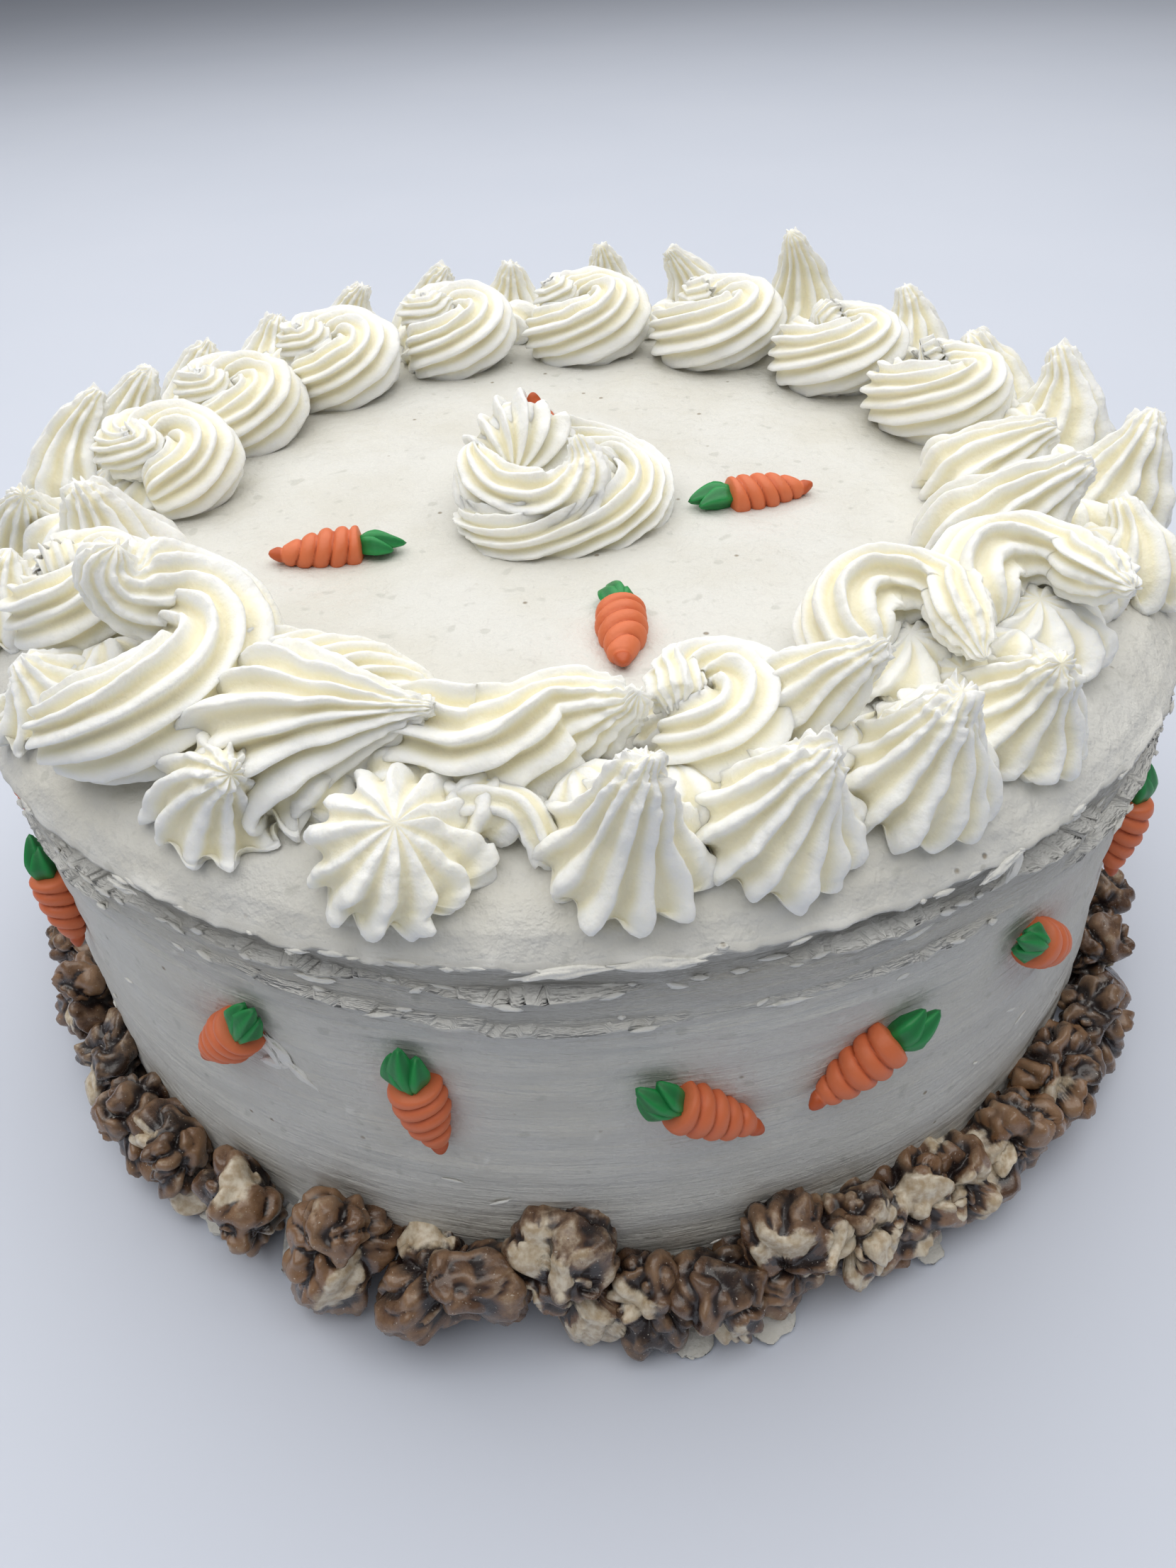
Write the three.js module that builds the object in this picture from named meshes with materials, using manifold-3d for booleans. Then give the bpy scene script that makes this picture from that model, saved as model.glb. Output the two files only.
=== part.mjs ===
// A round frosted carrot cake, uncut: a solid body under a flat top, two rows of piped frosting
// round the rim, one coiled swirl in the middle, icing carrots on the top and round the side, and
// a bank of walnut pieces at the foot. Millimetres, +Z up, the cake stands on z = 0 with its front
// towards -Y. Azimuths are in degrees from the front (-Y), counted towards +X.
import * as THREE from "three";
import Module from "manifold-3d";

const wasm = await Module();
wasm.setup();

// ---- driving dimensions --------------------------------------------------------------------
const SIDE_R = 117; // radius of the straight side: a 9 inch cake with its coat of frosting
const TOP_Z = 104; // height of the flat top
const RIM_Z = 93.5; // height of the lip where the shoulder turns down into the side
const GAP = 0.3; // clearance between pieces that touch
const PIPED_GAP = 0.6; // clearance round a piped piece, whose twisted flutes grow unevenly
const BODY_SEGMENTS = 40;

const INNER_R = 86; // circle that the inner row of swirls stands on
const OUTER_R = 107.5; // circle that the outer row of drop stars stands on
const STAR_FLUTES = 6;
const SWIRL_FLUTES = 7;
const SWIRL_SKIRT = 13; // how far a drop star's foot reaches down towards the sloping shoulder

const CARROT_LENGTH = 26; // leaf included
const CARROT_ROOT = 18; // length of the orange root
const CARROT_R = 4.4; // radius at the crown of the root
const CARROT_SIDES = 5;
const LEAF_SIDES = 4;
const CARROT_LIFT = 1.3; // height of the carrot's middle line over the frosting

const WALNUT_OUT = 129; // mean reach of the bank of walnut pieces
const WALNUT_TOP = 27; // mean height of the bank
const WALNUT_PIECES = 33;

const TAU = 2 * Math.PI;
const DEG = Math.PI / 180;

// ---- frostings, icing and nut: colour and finish ---------------------------------------------
const FINISH = {
  frosting: { color: 0xe9e6db, roughness: 0.55, metalness: 0 },
  piping: { color: 0xf4f1e2, roughness: 0.45, metalness: 0 },
  carrot: { color: 0xe0703f, roughness: 0.5, metalness: 0 },
  walnut: { color: 0x6b4a35, roughness: 0.5, metalness: 0 },
};

// ---- meshes and booleans -----------------------------------------------------------------------

/** Closed body through rings of equal point counts, each end closed by a fan to its middle. */
function loft(rings) {
  const count = rings[0].length;
  const points = rings.flat();
  const faces = [];
  for (let k = 0; k + 1 < rings.length; k++) {
    for (let i = 0; i < count; i++) {
      const a = k * count + i;
      const b = k * count + ((i + 1) % count);
      faces.push(a, b, b + count, a, b + count, a + count);
    }
  }
  const middle = (ring) => ring.reduce((sum, p) => sum.add(p), new THREE.Vector3()).divideScalar(count);
  const first = points.push(middle(rings[0])) - 1;
  const last = points.push(middle(rings[rings.length - 1])) - 1;
  const top = (rings.length - 1) * count;
  for (let i = 0; i < count; i++) {
    const j = (i + 1) % count;
    faces.push(first, j, i);
    faces.push(last, top + i, top + j);
  }
  const geometry = new THREE.BufferGeometry();
  const position = new Float32Array(points.flatMap((p) => [p.x, p.y, p.z]));
  geometry.setAttribute("position", new THREE.BufferAttribute(position, 3));
  geometry.setIndex(faces);
  return geometry;
}

/** The solid that an indexed geometry bounds, ready to join and cut. */
function solid(geometry) {
  return new wasm.Manifold(
    new wasm.Mesh({
      numProp: 3,
      vertProperties: new Float32Array(geometry.attributes.position.array),
      triVerts: new Uint32Array(geometry.index.array),
    }),
  );
}

/** A geometry with the vertices and triangles of a solid. */
function geometryOf(body) {
  const { vertProperties, triVerts } = body.getMesh();
  const geometry = new THREE.BufferGeometry();
  geometry.setAttribute("position", new THREE.BufferAttribute(new Float32Array(vertProperties), 3));
  geometry.setIndex(Array.from(triVerts));
  return geometry;
}

/** The largest of a solid's separate parts: what is left of a piece that others were cut from. */
function largest(body) {
  const parts = body.decompose();
  return parts.reduce((best, part) => (part.volume() > best.volume() ? part : best));
}

/** True where two solids' boxes meet. */
function boxesMeet(a, b) {
  const p = a.boundingBox();
  const q = b.boundingBox();
  return [0, 1, 2].every((k) => p.min[k] <= q.max[k] && q.min[k] <= p.max[k]);
}

/** Point on the circle of radius r at an azimuth from the front. */
function onCircle(r, azimuth, z = 0) {
  return new THREE.Vector3(r * Math.sin(azimuth * DEG), -r * Math.cos(azimuth * DEG), z);
}

// ---- the cake's body -----------------------------------------------------------------------------

/** Outline of the body from the foot to the flat top, [radius, height]. */
const BODY_OUTLINE = [
  [SIDE_R - 1.2, 0],
  [SIDE_R - 0.2, 3],
  [SIDE_R + 0.2, RIM_Z - 14],
  [SIDE_R + 1.4, RIM_Z - 11],
  [SIDE_R - 0.2, RIM_Z - 9.5],
  [SIDE_R + 1.6, RIM_Z - 1.2],
  [SIDE_R + 0.2, RIM_Z + 2.6],
  [SIDE_R - 6.5, RIM_Z + 7],
  [SIDE_R - 15, TOP_Z - 0.8],
  [SIDE_R - 25, TOP_Z],
];

/** How far the spread frosting stands out or in at an angle: a few low waves that climb the side. */
function spread(angle, z) {
  const climb = z / TOP_Z;
  return 0.7 * Math.sin(3 * angle + 1.1) + 0.5 * climb * Math.sin(7 * angle + 2.4 * climb);
}

/** The cake's body, or the same body grown by a margin on all sides. */
function bodyGeometry(grow = 0) {
  const rings = BODY_OUTLINE.map(([r, z], k) => {
    const [r0, z0] = BODY_OUTLINE[Math.max(k - 1, 0)];
    const [r1, z1] = BODY_OUTLINE[Math.min(k + 1, BODY_OUTLINE.length - 1)];
    const along = Math.hypot(r1 - r0, z1 - z0);
    const outward = (grow * (z1 - z0)) / along;
    const upward = (grow * (r0 - r1)) / along;
    const ring = [];
    for (let i = 0; i < BODY_SEGMENTS; i++) {
      const angle = (i * TAU) / BODY_SEGMENTS;
      const fade = k === BODY_OUTLINE.length - 1 ? 0 : 1;
      const radius = r + outward + fade * spread(angle, z);
      const height = k === 0 ? -grow : Math.min(z + upward, TOP_Z + grow);
      ring.push(new THREE.Vector3(radius * Math.cos(angle), radius * Math.sin(angle), height));
    }
    return ring;
  });
  return loft(rings);
}

const bodyClearance = solid(bodyGeometry(GAP));

// ---- piped frosting --------------------------------------------------------------------------------

/** Swell of a drop star from foot to tip: [share of height, share of radius, share of flute]. */
const STAR_SWELL = [
  [0, 0.92, 1],
  [0.22, 1, 1],
  [0.55, 0.58, 1],
  [0.95, 0.1, 0],
];

/** Swell of a coiled swirl: a fuller shoulder than a drop star's, and a low folded peak. */
const COIL_SWELL = [
  [0, 0.88, 1],
  [0.3, 1, 1],
  [0.72, 0.66, 1],
  [0.97, 0.12, 0],
];

/**
 * A piped piece: fluted by the nozzle's teeth, turned as the bag was turned, and drawn off to a
 * tip that leans. `x`, `y` is the foot's middle, `foot` its height, `grow` a margin all round.
 */
function pipedGeometry({ x, y, foot, r, h, flutes, twist, lean, phase, swell, stretch = 1, turn = 0 }, grow = 0) {
  const depth = 0.13;
  const rings = swell.map(([up, out, fluted], k) => {
    const ring = [];
    const pull = up * up;
    const end = k === 0 ? -grow : k === swell.length - 1 ? 2 * grow : 0;
    const height = foot + h * up + end;
    for (let i = 0; i < 2 * flutes; i++) {
      const angle = phase + (i * Math.PI) / flutes + twist * up;
      const ridge = i % 2 === 0 ? depth : -depth;
      const radius = r * out * (1 + ridge * fluted) + grow;
      const along = radius * Math.cos(angle) * stretch;
      const across = radius * Math.sin(angle);
      ring.push(
        new THREE.Vector3(
          x + lean[0] * pull + along * Math.cos(turn) - across * Math.sin(turn),
          y + lean[1] * pull + along * Math.sin(turn) + across * Math.cos(turn),
          height,
        ),
      );
    }
    return ring;
  });
  return loft(rings);
}

/** Drop stars of the outer row: [azimuth, radius, height, lean outward, lean along the rim]. */
const OUTER_STARS = [
  [-26, 10.5, 17, 2, 4],
  [-13, 11.5, 14, 1, -1],
  [1.5, 11.5, 22, -3, 4],
  [13, 10.5, 17, -2, 9],
  [24, 10.5, 19, -1, 9],
  [35.5, 10.5, 18, 0, 8],
  [68, 11, 15, 2, 5],
  [83, 11, 20, 6, 5],
  [100, 11, 18, 3, 3],
  [114, 10.5, 15, 1, 2],
  [128, 11, 18, 1, 3],
  [145, 11.5, 27, 0, 5],
  [160, 10.5, 15, 0, 2],
  [173, 10.5, 20, 0, 3],
  [187, 10.5, 17, 0, -1],
  [199, 10.5, 19, 1, 4],
  [211, 10.5, 17, 0, -2],
  [223, 10.5, 16, 0, 2],
  [235, 10.5, 16, 0, -2],
  [247, 10.5, 17, 0, 2],
  [260, 11, 24, 1, 2],
  [274, 10.5, 16, 1, -2],
  [289, 11, 17, 1, 2],
  [306, 10.5, 14, 3, -2],
];

/** Coiled swirls of the inner row: [azimuth, radius, height, lean inward, lean along the rim]. */
const INNER_SWIRLS = [
  [-45, 15.5, 24, 4, -5, 91],
  [-24, 14.5, 16, 3, 13, 90],
  [-5.5, 14.5, 16, 2, 12, 90],
  [10.5, 11.5, 14, 0, 2, 87],
  [22, 11, 24, -3, 12, 89],
  [37.5, 12.5, 16, 2, 3, 85],
  [51, 13.5, 17, -4, 6, 91],
  [67, 13, 20, -6, 6, 86],
  [87, 13.5, 17, 0, 5, 86],
  [108, 13.5, 16, 0, 3, 86],
  [130, 14, 16, 0, 3, 85],
  [153, 14.5, 16, 0, 3, 84],
  [177, 14.5, 16, 0, 3, 84],
  [200, 14, 15, 0, -3, 84],
  [222, 14, 15, 0, -3, 84],
  [243, 13.5, 16, 0, -3, 84],
  [264, 13.5, 16, 0, -3, 84],
  [283, 12.5, 18, 0, 2, 86],
  [298, 11.5, 13, 0, 2, 88],
];

/** The lean of a tip, given outward from the cake's axis and along the rim, as [x, y]. */
function leanOf(azimuth, outward, along) {
  const out = onCircle(1, azimuth);
  const side = onCircle(1, azimuth + 90);
  return [out.x * outward + side.x * along, out.y * outward + side.y * along];
}

/** Each piped piece's settings, outer row first: it was piped last and is whole. */
const pipedPieces = [
  ...OUTER_STARS.map(([azimuth, r, h, outward, along], k) => {
    const place = onCircle(OUTER_R, azimuth);
    return {
      name: `outer_star_${String(k + 1).padStart(2, "0")}`,
      x: place.x,
      y: place.y,
      foot: TOP_Z - SWIRL_SKIRT,
      r,
      h: h + SWIRL_SKIRT - 2,
      flutes: STAR_FLUTES,
      twist: 0.35,
      lean: leanOf(azimuth, outward, along),
      phase: 0.7 * k,
      swell: STAR_SWELL.map(([up, out, fluted]) => [
        up === 0 ? 0 : (SWIRL_SKIRT - 2 + h * up) / (h + SWIRL_SKIRT - 2),
        out,
        fluted,
      ]),
    };
  }),
  ...INNER_SWIRLS.map(([azimuth, r, h, inward, along, circle], k) => {
    const place = onCircle(circle, azimuth);
    return {
      name: `inner_swirl_${String(k + 1).padStart(2, "0")}`,
      x: place.x,
      y: place.y,
      foot: TOP_Z + GAP,
      r,
      h,
      flutes: SWIRL_FLUTES,
      twist: 1.1,
      lean: leanOf(azimuth, -inward, along),
      phase: 0.5 * k,
      swell: COIL_SWELL,
    };
  }),
];

/** Cuts each piped piece clear of the body and of the pieces placed before it. */
function pipedBodies() {
  const placed = [];
  for (const piece of pipedPieces) {
    let body = solid(pipedGeometry(piece));
    if (piece.foot < TOP_Z) body = body.subtract(bodyClearance);
    for (const other of placed) {
      if (boxesMeet(body, other.clearance)) body = body.subtract(other.clearance);
    }
    body = largest(body);
    placed.push({ name: piece.name, body, clearance: solid(pipedGeometry(piece, PIPED_GAP)) });
  }
  return placed;
}

/** The swirl in the middle: a fat tail laid down at the right, coiled round into a tall fan. */
function centreSwirlSolid() {
  const coil = pipedGeometry({
    x: -4,
    y: -11,
    foot: TOP_Z + GAP,
    r: 16.5,
    h: 21,
    flutes: 9,
    twist: 1.5,
    lean: [-3.5, 10],
    phase: 0.2,
    swell: COIL_SWELL,
  });
  const tail = pipedGeometry({
    x: 9,
    y: -3,
    foot: TOP_Z + GAP,
    r: 11,
    h: 12,
    flutes: 6,
    twist: 0.6,
    lean: [-4, 2],
    phase: 0,
    swell: COIL_SWELL,
    stretch: 1.25,
    turn: 0.9,
  });
  return solid(coil).add(solid(tail));
}

// ---- icing carrots -----------------------------------------------------------------------------------

/**
 * A carrot lying along +X from the leaf's end at x = 0: five fat rolls tapering to a tip.
 * `grow` is a margin all round.
 */
function carrotSolid(grow = 0) {
  const leafLength = CARROT_LENGTH - CARROT_ROOT;
  const rolls = 5;
  const ringAt = (at, radius, sides) => {
    const ring = [];
    for (let i = 0; i < sides; i++) {
      const angle = -((i * TAU) / sides);
      const reach = radius + grow;
      ring.push(new THREE.Vector3(at, reach * Math.cos(angle), reach * Math.sin(angle)));
    }
    return ring.reverse();
  };
  const root = [ringAt(leafLength, CARROT_R * 0.7, CARROT_SIDES)];
  for (let k = 0; k < 2 * rolls - 1; k++) {
    const share = (k + 1) / (2 * rolls);
    const taper = 1 - 0.72 * share ** 2.4;
    const roll = k % 2 === 0 ? 1 : 0.88;
    root.push(ringAt(leafLength + CARROT_ROOT * share, CARROT_R * taper * roll, CARROT_SIDES));
  }
  root.push(ringAt(CARROT_LENGTH + grow, CARROT_R * 0.1, CARROT_SIDES));
  const leaf = [
    ringAt(-grow, 0.5, LEAF_SIDES),
    ringAt(leafLength * 0.4, 2.8, LEAF_SIDES),
    ringAt(leafLength * 0.85, 2.3, LEAF_SIDES),
    ringAt(leafLength + 2, 1.4, LEAF_SIDES),
  ];
  return solid(loft(root)).add(solid(loft(leaf)));
}

const carrot = carrotSolid();
const carrotClearance = carrotSolid(GAP);

/** Carrots on the top: [name, leaf end, tip], each point [x, y]. */
const TOP_CARROTS = [
  ["top_carrot_left", [-32, -20.5], [-57, -23]],
  ["top_carrot_right", [24, -10.5], [47.5, -5.5]],
  ["top_carrot_front", [7.1, -40.5], [7.8, -66.5]],
];

/** Carrots on the side: [azimuth of the middle, height of the middle, direction leaf to tip]. */
const SIDE_CARROTS = [
  [-74, 60, -75],
  [-57, 60, -80],
  [-29.5, 62, -140],
  [-13.5, 60, -83],
  [7.2, 57, -38],
  [21.3, 59, -150],
  [39.5, 62, -38],
  [59, 62, -98],
];

/** The carrot tucked behind the middle swirl, tip up: its leaf end and its tip, [x, y, z]. */
const BACK_CARROT = [
  [-4.4, 12.6, TOP_Z - 0.5],
  [-5.6, 1.2, TOP_Z + 22.8],
];

/** The carrot turned and moved by a matrix, with what would sink into the cake cut off. */
function placedCarrot(matrix) {
  const placed = carrot.transform(matrix.elements);
  return geometryOf(largest(placed.subtract(bodyClearance)));
}

/** Matrix that lays a carrot on a surface: its axis along `along`, `out` away from the cake. */
function layOn(middle, along, out) {
  const across = new THREE.Vector3().crossVectors(out, along).normalize();
  const lifted = middle.clone().addScaledVector(out, CARROT_LIFT);
  const start = lifted.addScaledVector(along, -CARROT_LENGTH / 2);
  return new THREE.Matrix4().makeBasis(along, across, out).setPosition(start);
}

function topCarrotMatrix([lx, ly], [tx, ty]) {
  const along = new THREE.Vector3(tx - lx, ty - ly, 0).normalize();
  const middle = new THREE.Vector3((lx + tx) / 2, (ly + ty) / 2, TOP_Z);
  return layOn(middle, along, new THREE.Vector3(0, 0, 1));
}

function sideCarrotMatrix(azimuth, z, direction) {
  const out = onCircle(1, azimuth);
  const sideways = onCircle(1, azimuth + 90);
  const up = new THREE.Vector3(0, 0, 1);
  const along = new THREE.Vector3()
    .addScaledVector(sideways, Math.cos(direction * DEG))
    .addScaledVector(up, Math.sin(direction * DEG));
  return layOn(onCircle(SIDE_R, azimuth, z), along, out);
}

/** Matrix that stands a carrot between two points, its broad side towards the back. */
function leaningCarrotMatrix(leaf, tip) {
  const start = new THREE.Vector3(...leaf);
  const along = new THREE.Vector3(...tip).sub(start).normalize();
  const across = new THREE.Vector3(1, 0, 0).projectOnPlane(along).normalize();
  const out = new THREE.Vector3().crossVectors(along, across);
  return new THREE.Matrix4().makeBasis(along, across, out).setPosition(start);
}

// ---- walnut pieces -----------------------------------------------------------------------------------

/** The bank of walnut pieces round the foot: one uneven ring, a lump to each piece. */
function walnutGeometry() {
  const segments = 2 * WALNUT_PIECES;
  const inner = SIDE_R + 2 * GAP;
  const rings = [];
  const section = [
    [inner, 0],
    [WALNUT_OUT - 1, 0],
    [WALNUT_OUT - 1, 15],
    [SIDE_R + 5, WALNUT_TOP],
    [inner, WALNUT_TOP - 2],
  ];
  for (let i = 0; i < segments; i++) {
    const angle = (i * TAU) / segments;
    const lump = i % 2 === 0 ? 1 : -1;
    const wander = Math.sin(5 * angle + 0.6) + 0.7 * Math.sin(11 * angle);
    const out = 1.6 * lump + 1.3 * wander;
    const up = 2.2 * lump + 1.8 * Math.sin(7 * angle + 1);
    rings.push(
      section.map(([r, z]) => {
        const bulge = r > SIDE_R + 6 ? out : 0.3 * out;
        const radius = r + (r === inner ? spread(angle, z) : bulge);
        const height = z + (up * z) / WALNUT_TOP;
        return new THREE.Vector3(radius * Math.cos(angle), radius * Math.sin(angle), height);
      }),
    );
  }
  return closedTube(rings);
}

/** Solid of a tube whose last ring meets its first. */
function closedTube(rings) {
  const count = rings[0].length;
  const points = rings.flat();
  const faces = [];
  for (let k = 0; k < rings.length; k++) {
    const next = ((k + 1) % rings.length) * count;
    for (let i = 0; i < count; i++) {
      const j = (i + 1) % count;
      const a = k * count;
      faces.push(a + i, next + j, a + j, a + i, next + i, next + j);
    }
  }
  const geometry = new THREE.BufferGeometry();
  const position = new Float32Array(points.flatMap((p) => [p.x, p.y, p.z]));
  geometry.setAttribute("position", new THREE.BufferAttribute(position, 3));
  geometry.setIndex(faces);
  return solid(geometry);
}

// ---- the cake ------------------------------------------------------------------------------------------

const cake = new THREE.Group();

/** Adds one named mesh in its own finish. */
function add(name, geometry, finish) {
  const mesh = new THREE.Mesh(geometry, new THREE.MeshStandardMaterial(finish));
  mesh.name = name;
  cake.add(mesh);
}

add("cake_body", bodyGeometry(), FINISH.frosting);
for (const { name, body } of pipedBodies()) add(name, geometryOf(body), FINISH.piping);
const backCarrot = leaningCarrotMatrix(...BACK_CARROT);
const centreSwirl = centreSwirlSolid().subtract(carrotClearance.transform(backCarrot.elements));
add("centre_swirl", geometryOf(largest(centreSwirl)), FINISH.piping);
add("top_carrot_back", placedCarrot(backCarrot), FINISH.carrot);
for (const [name, leaf, tip] of TOP_CARROTS) {
  add(name, placedCarrot(topCarrotMatrix(leaf, tip)), FINISH.carrot);
}
SIDE_CARROTS.forEach(([azimuth, z, direction], k) => {
  add(`side_carrot_${k + 1}`, placedCarrot(sideCarrotMatrix(azimuth, z, direction)), FINISH.carrot);
});
add("walnut_ring", geometryOf(walnutGeometry()), FINISH.walnut);

export default cake;
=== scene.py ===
"""Round frosted carrot cake: spread coat, piped border, nested middle swirl, icing carrots, walnuts."""

import logging
import math
from dataclasses import dataclass, field, replace
from enum import Enum
from typing import Callable

import bmesh
import bpy
import numpy as np
from mathutils import Matrix, Vector


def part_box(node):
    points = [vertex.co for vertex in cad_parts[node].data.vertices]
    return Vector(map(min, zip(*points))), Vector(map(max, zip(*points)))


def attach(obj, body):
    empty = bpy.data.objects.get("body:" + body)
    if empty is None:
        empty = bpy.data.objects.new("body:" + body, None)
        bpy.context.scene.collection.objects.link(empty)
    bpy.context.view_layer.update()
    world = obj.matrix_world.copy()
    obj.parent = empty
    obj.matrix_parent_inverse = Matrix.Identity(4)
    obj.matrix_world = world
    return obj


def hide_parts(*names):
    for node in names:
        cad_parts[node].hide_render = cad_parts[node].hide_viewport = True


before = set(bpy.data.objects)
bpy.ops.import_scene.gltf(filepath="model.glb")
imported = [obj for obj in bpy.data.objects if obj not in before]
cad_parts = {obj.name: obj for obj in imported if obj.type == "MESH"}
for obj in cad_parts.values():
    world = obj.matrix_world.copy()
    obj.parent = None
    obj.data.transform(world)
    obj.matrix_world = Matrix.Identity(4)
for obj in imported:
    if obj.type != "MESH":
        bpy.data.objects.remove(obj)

log = logging.getLogger("carrot_cake")

MM = 0.001
TAU = 2.0 * math.pi
EIGHTH_TURN = 0.7853981
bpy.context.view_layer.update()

# Sizes of the cake in millimetres, as the frame has them.
TOP_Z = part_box("cake_body")[1].z / MM
SIDE_R = 117.0
LIP_Z = 92.5
LIP_R = 118.9

LIP, LOOSE = 2, 3  # the lip, after the two ledges, and no line at all

UP = np.array([0.0, 0.0, 1.0])
WELD = 2e-6  # metres within which the points of a wrapped skin merge

Array = np.ndarray
Colour = tuple[float, float, float, float]
Knot = tuple[float, float, float, float]
Material = bpy.types.Material
Point = tuple[float, float, float]
Shape = tuple[Array, dict[str, Array]]
Row = tuple[float, ...]
ShapeRule = Callable[[Array, Array], Shape]
Skin = bmesh.types.BMesh
Socket = bpy.types.NodeSocket


# ---- shared geometry ---------------------------------------------------------------------------


def lattice_hash(cell: Array, seed: int) -> Array:
    """Scrambles whole-number cells into 32-bit numbers.

    Args:
        cell: integer cells, last axis 3.
        seed: changes the whole pattern.

    Returns:
        One hash for each cell.
    """
    mixed = cell[..., 0] * 374761393 + cell[..., 1] * 668265263 + cell[..., 2] * 1440662683
    mixed = (mixed + seed * 1274126177) & 0xFFFFFFFF
    mixed = ((mixed ^ (mixed >> 13)) * 1103515245) & 0xFFFFFFFF
    mixed = ((mixed ^ (mixed >> 15)) * 668265263) & 0xFFFFFFFF
    return mixed ^ (mixed >> 16)


def ripple(points: Array, seed: int = 0) -> Array:
    """Gradient noise, smooth and between about -1 and 1.

    Args:
        points: places, last axis 3, one cell to a unit.
        seed: changes the whole pattern.

    Returns:
        The noise at each place.
    """
    base = np.floor(points).astype(np.int64)
    part = points - base
    fade = part * part * part * (part * (part * 6.0 - 15.0) + 10.0)
    total = np.zeros(points.shape[:-1])
    for corner in np.ndindex(2, 2, 2):
        step = np.array(corner)
        mixed = lattice_hash(base + step, seed)
        away = part - step
        slope = sum((((mixed >> (8 * k)) & 255) / 127.5 - 1.0) * away[..., k] for k in range(3))
        weight = np.prod(np.where(step == 1, fade, 1.0 - fade), axis=-1)
        total += weight * slope
    return total * 1.1


def layered(points: Array, octaves: int, seed: int = 0) -> Array:
    """Several octaves of noise, each half as strong and twice as fine as the one before.

    Args:
        points: places, last axis 3.
        octaves: number of layers.
        seed: changes the whole pattern.

    Returns:
        The summed noise.
    """
    return sum(ripple(points * 2.0**k, seed + 17 * k) / 2.0**k for k in range(octaves))


def around(radius: float, azimuth: float, height: float = 0.0) -> Array:
    """Place at a radius and an azimuth in degrees from the front (-Y) towards +X."""
    turn = math.radians(azimuth)
    return np.array([radius * math.sin(turn), -radius * math.cos(turn), height])


def wound(theta: Array, pace: float, level: Array | float) -> Array:
    """Places for noise that runs round the cake at a pace, each at a level of its own."""
    return np.stack([pace * np.cos(theta), pace * np.sin(theta), level + 0 * theta], axis=-1)


def directions(rows: Array) -> Array:
    """Rows scaled to a length of one."""
    return rows / np.linalg.norm(rows, axis=1)[:, None]


def unit(values: Array | float) -> Array | float:
    """Holds values between nought and one."""
    return np.clip(values, 0, 1)


def over_top(*knots: Knot) -> list[Knot]:
    """Knots of a rope whose heights are given over the cake's flat top."""
    return [(x, y, TOP_Z + height, half) for x, y, height, half in knots]


def smooth_curve(knots: Array, count: int) -> Array:
    """Runs a smooth curve through knots.

    Args:
        knots: rows that the curve passes through, of any width.
        count: number of samples, evenly spaced in knot number.

    Returns:
        The sampled rows.
    """
    padded = np.vstack([2 * knots[0] - knots[1], knots, 2 * knots[-1] - knots[-2]])
    at = np.linspace(0.0, len(knots) - 1.0, count)
    k = np.minimum(at.astype(int), len(knots) - 2)
    t = (at - k)[:, None]
    a, b, c, d = padded[k], padded[k + 1], padded[k + 2], padded[k + 3]
    return 0.5 * (2 * b + (c - a) * t + (2 * a - 5 * b + 4 * c - d) * t**2 + (3 * b - a - 3 * c + d) * t**3)


def even_curve(knots: Array, count: int) -> Array:
    """A smooth curve through knots, resampled to even steps of length in its first three columns."""
    dense = smooth_curve(knots, 40 * len(knots))
    steps = np.linalg.norm(np.diff(dense[:, :3], axis=0), axis=1)
    reach = np.concatenate([[0.0], np.cumsum(steps)])
    even = np.linspace(0.0, reach[-1], count)
    return np.stack([np.interp(even, reach, dense[:, k]) for k in range(dense.shape[1])], axis=1)


def move_points(skin: Skin, places: Array) -> None:
    """Moves every point of a skin to its place in millimetres."""
    for vert, place in zip(skin.verts, places * MM):
        vert.co = place


def mark_points(skin: Skin, marks: dict[str, Array]) -> None:
    """Stores named marks on a skin's points, each as a float layer.

    Args:
        skin: the skin.
        marks: one value for each point, under each name.
    """
    for name, values in marks.items():
        layer = skin.verts.layers.float.new(name)
        for vert, value in zip(skin.verts, values):
            vert[layer] = value


def wrapped_surface(around_steps: int, along_steps: int, rule: ShapeRule) -> Skin:
    """Bends a grid into a closed skin: its sides meet and its two ends close to points.

    Args:
        around_steps: faces round the skin.
        along_steps: faces from end to end.
        rule: gives the place in millimetres, and named marks, for each (round, along) pair.

    Returns:
        The skin, welded, with its faces outward and each mark as a float layer.
    """
    skin = bmesh.new()
    bmesh.ops.create_grid(skin, x_segments=around_steps, y_segments=along_steps, size=0.5)
    skin.verts.ensure_lookup_table()
    flat = np.array([v.co[:2] for v in skin.verts]) + 0.5
    places, marks = rule(np.round(flat[:, 0], 7), np.round(flat[:, 1], 7))
    move_points(skin, places)
    mark_points(skin, marks)
    bmesh.ops.remove_doubles(skin, verts=skin.verts, dist=WELD)
    bmesh.ops.recalc_face_normals(skin, faces=skin.faces)
    return skin


def linked(name: str, data: bpy.types.ID) -> bpy.types.Object:
    """A new object of the scene that shows the data."""
    made = bpy.data.objects.new(name, data)
    bpy.context.collection.objects.link(made)
    return made


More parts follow.
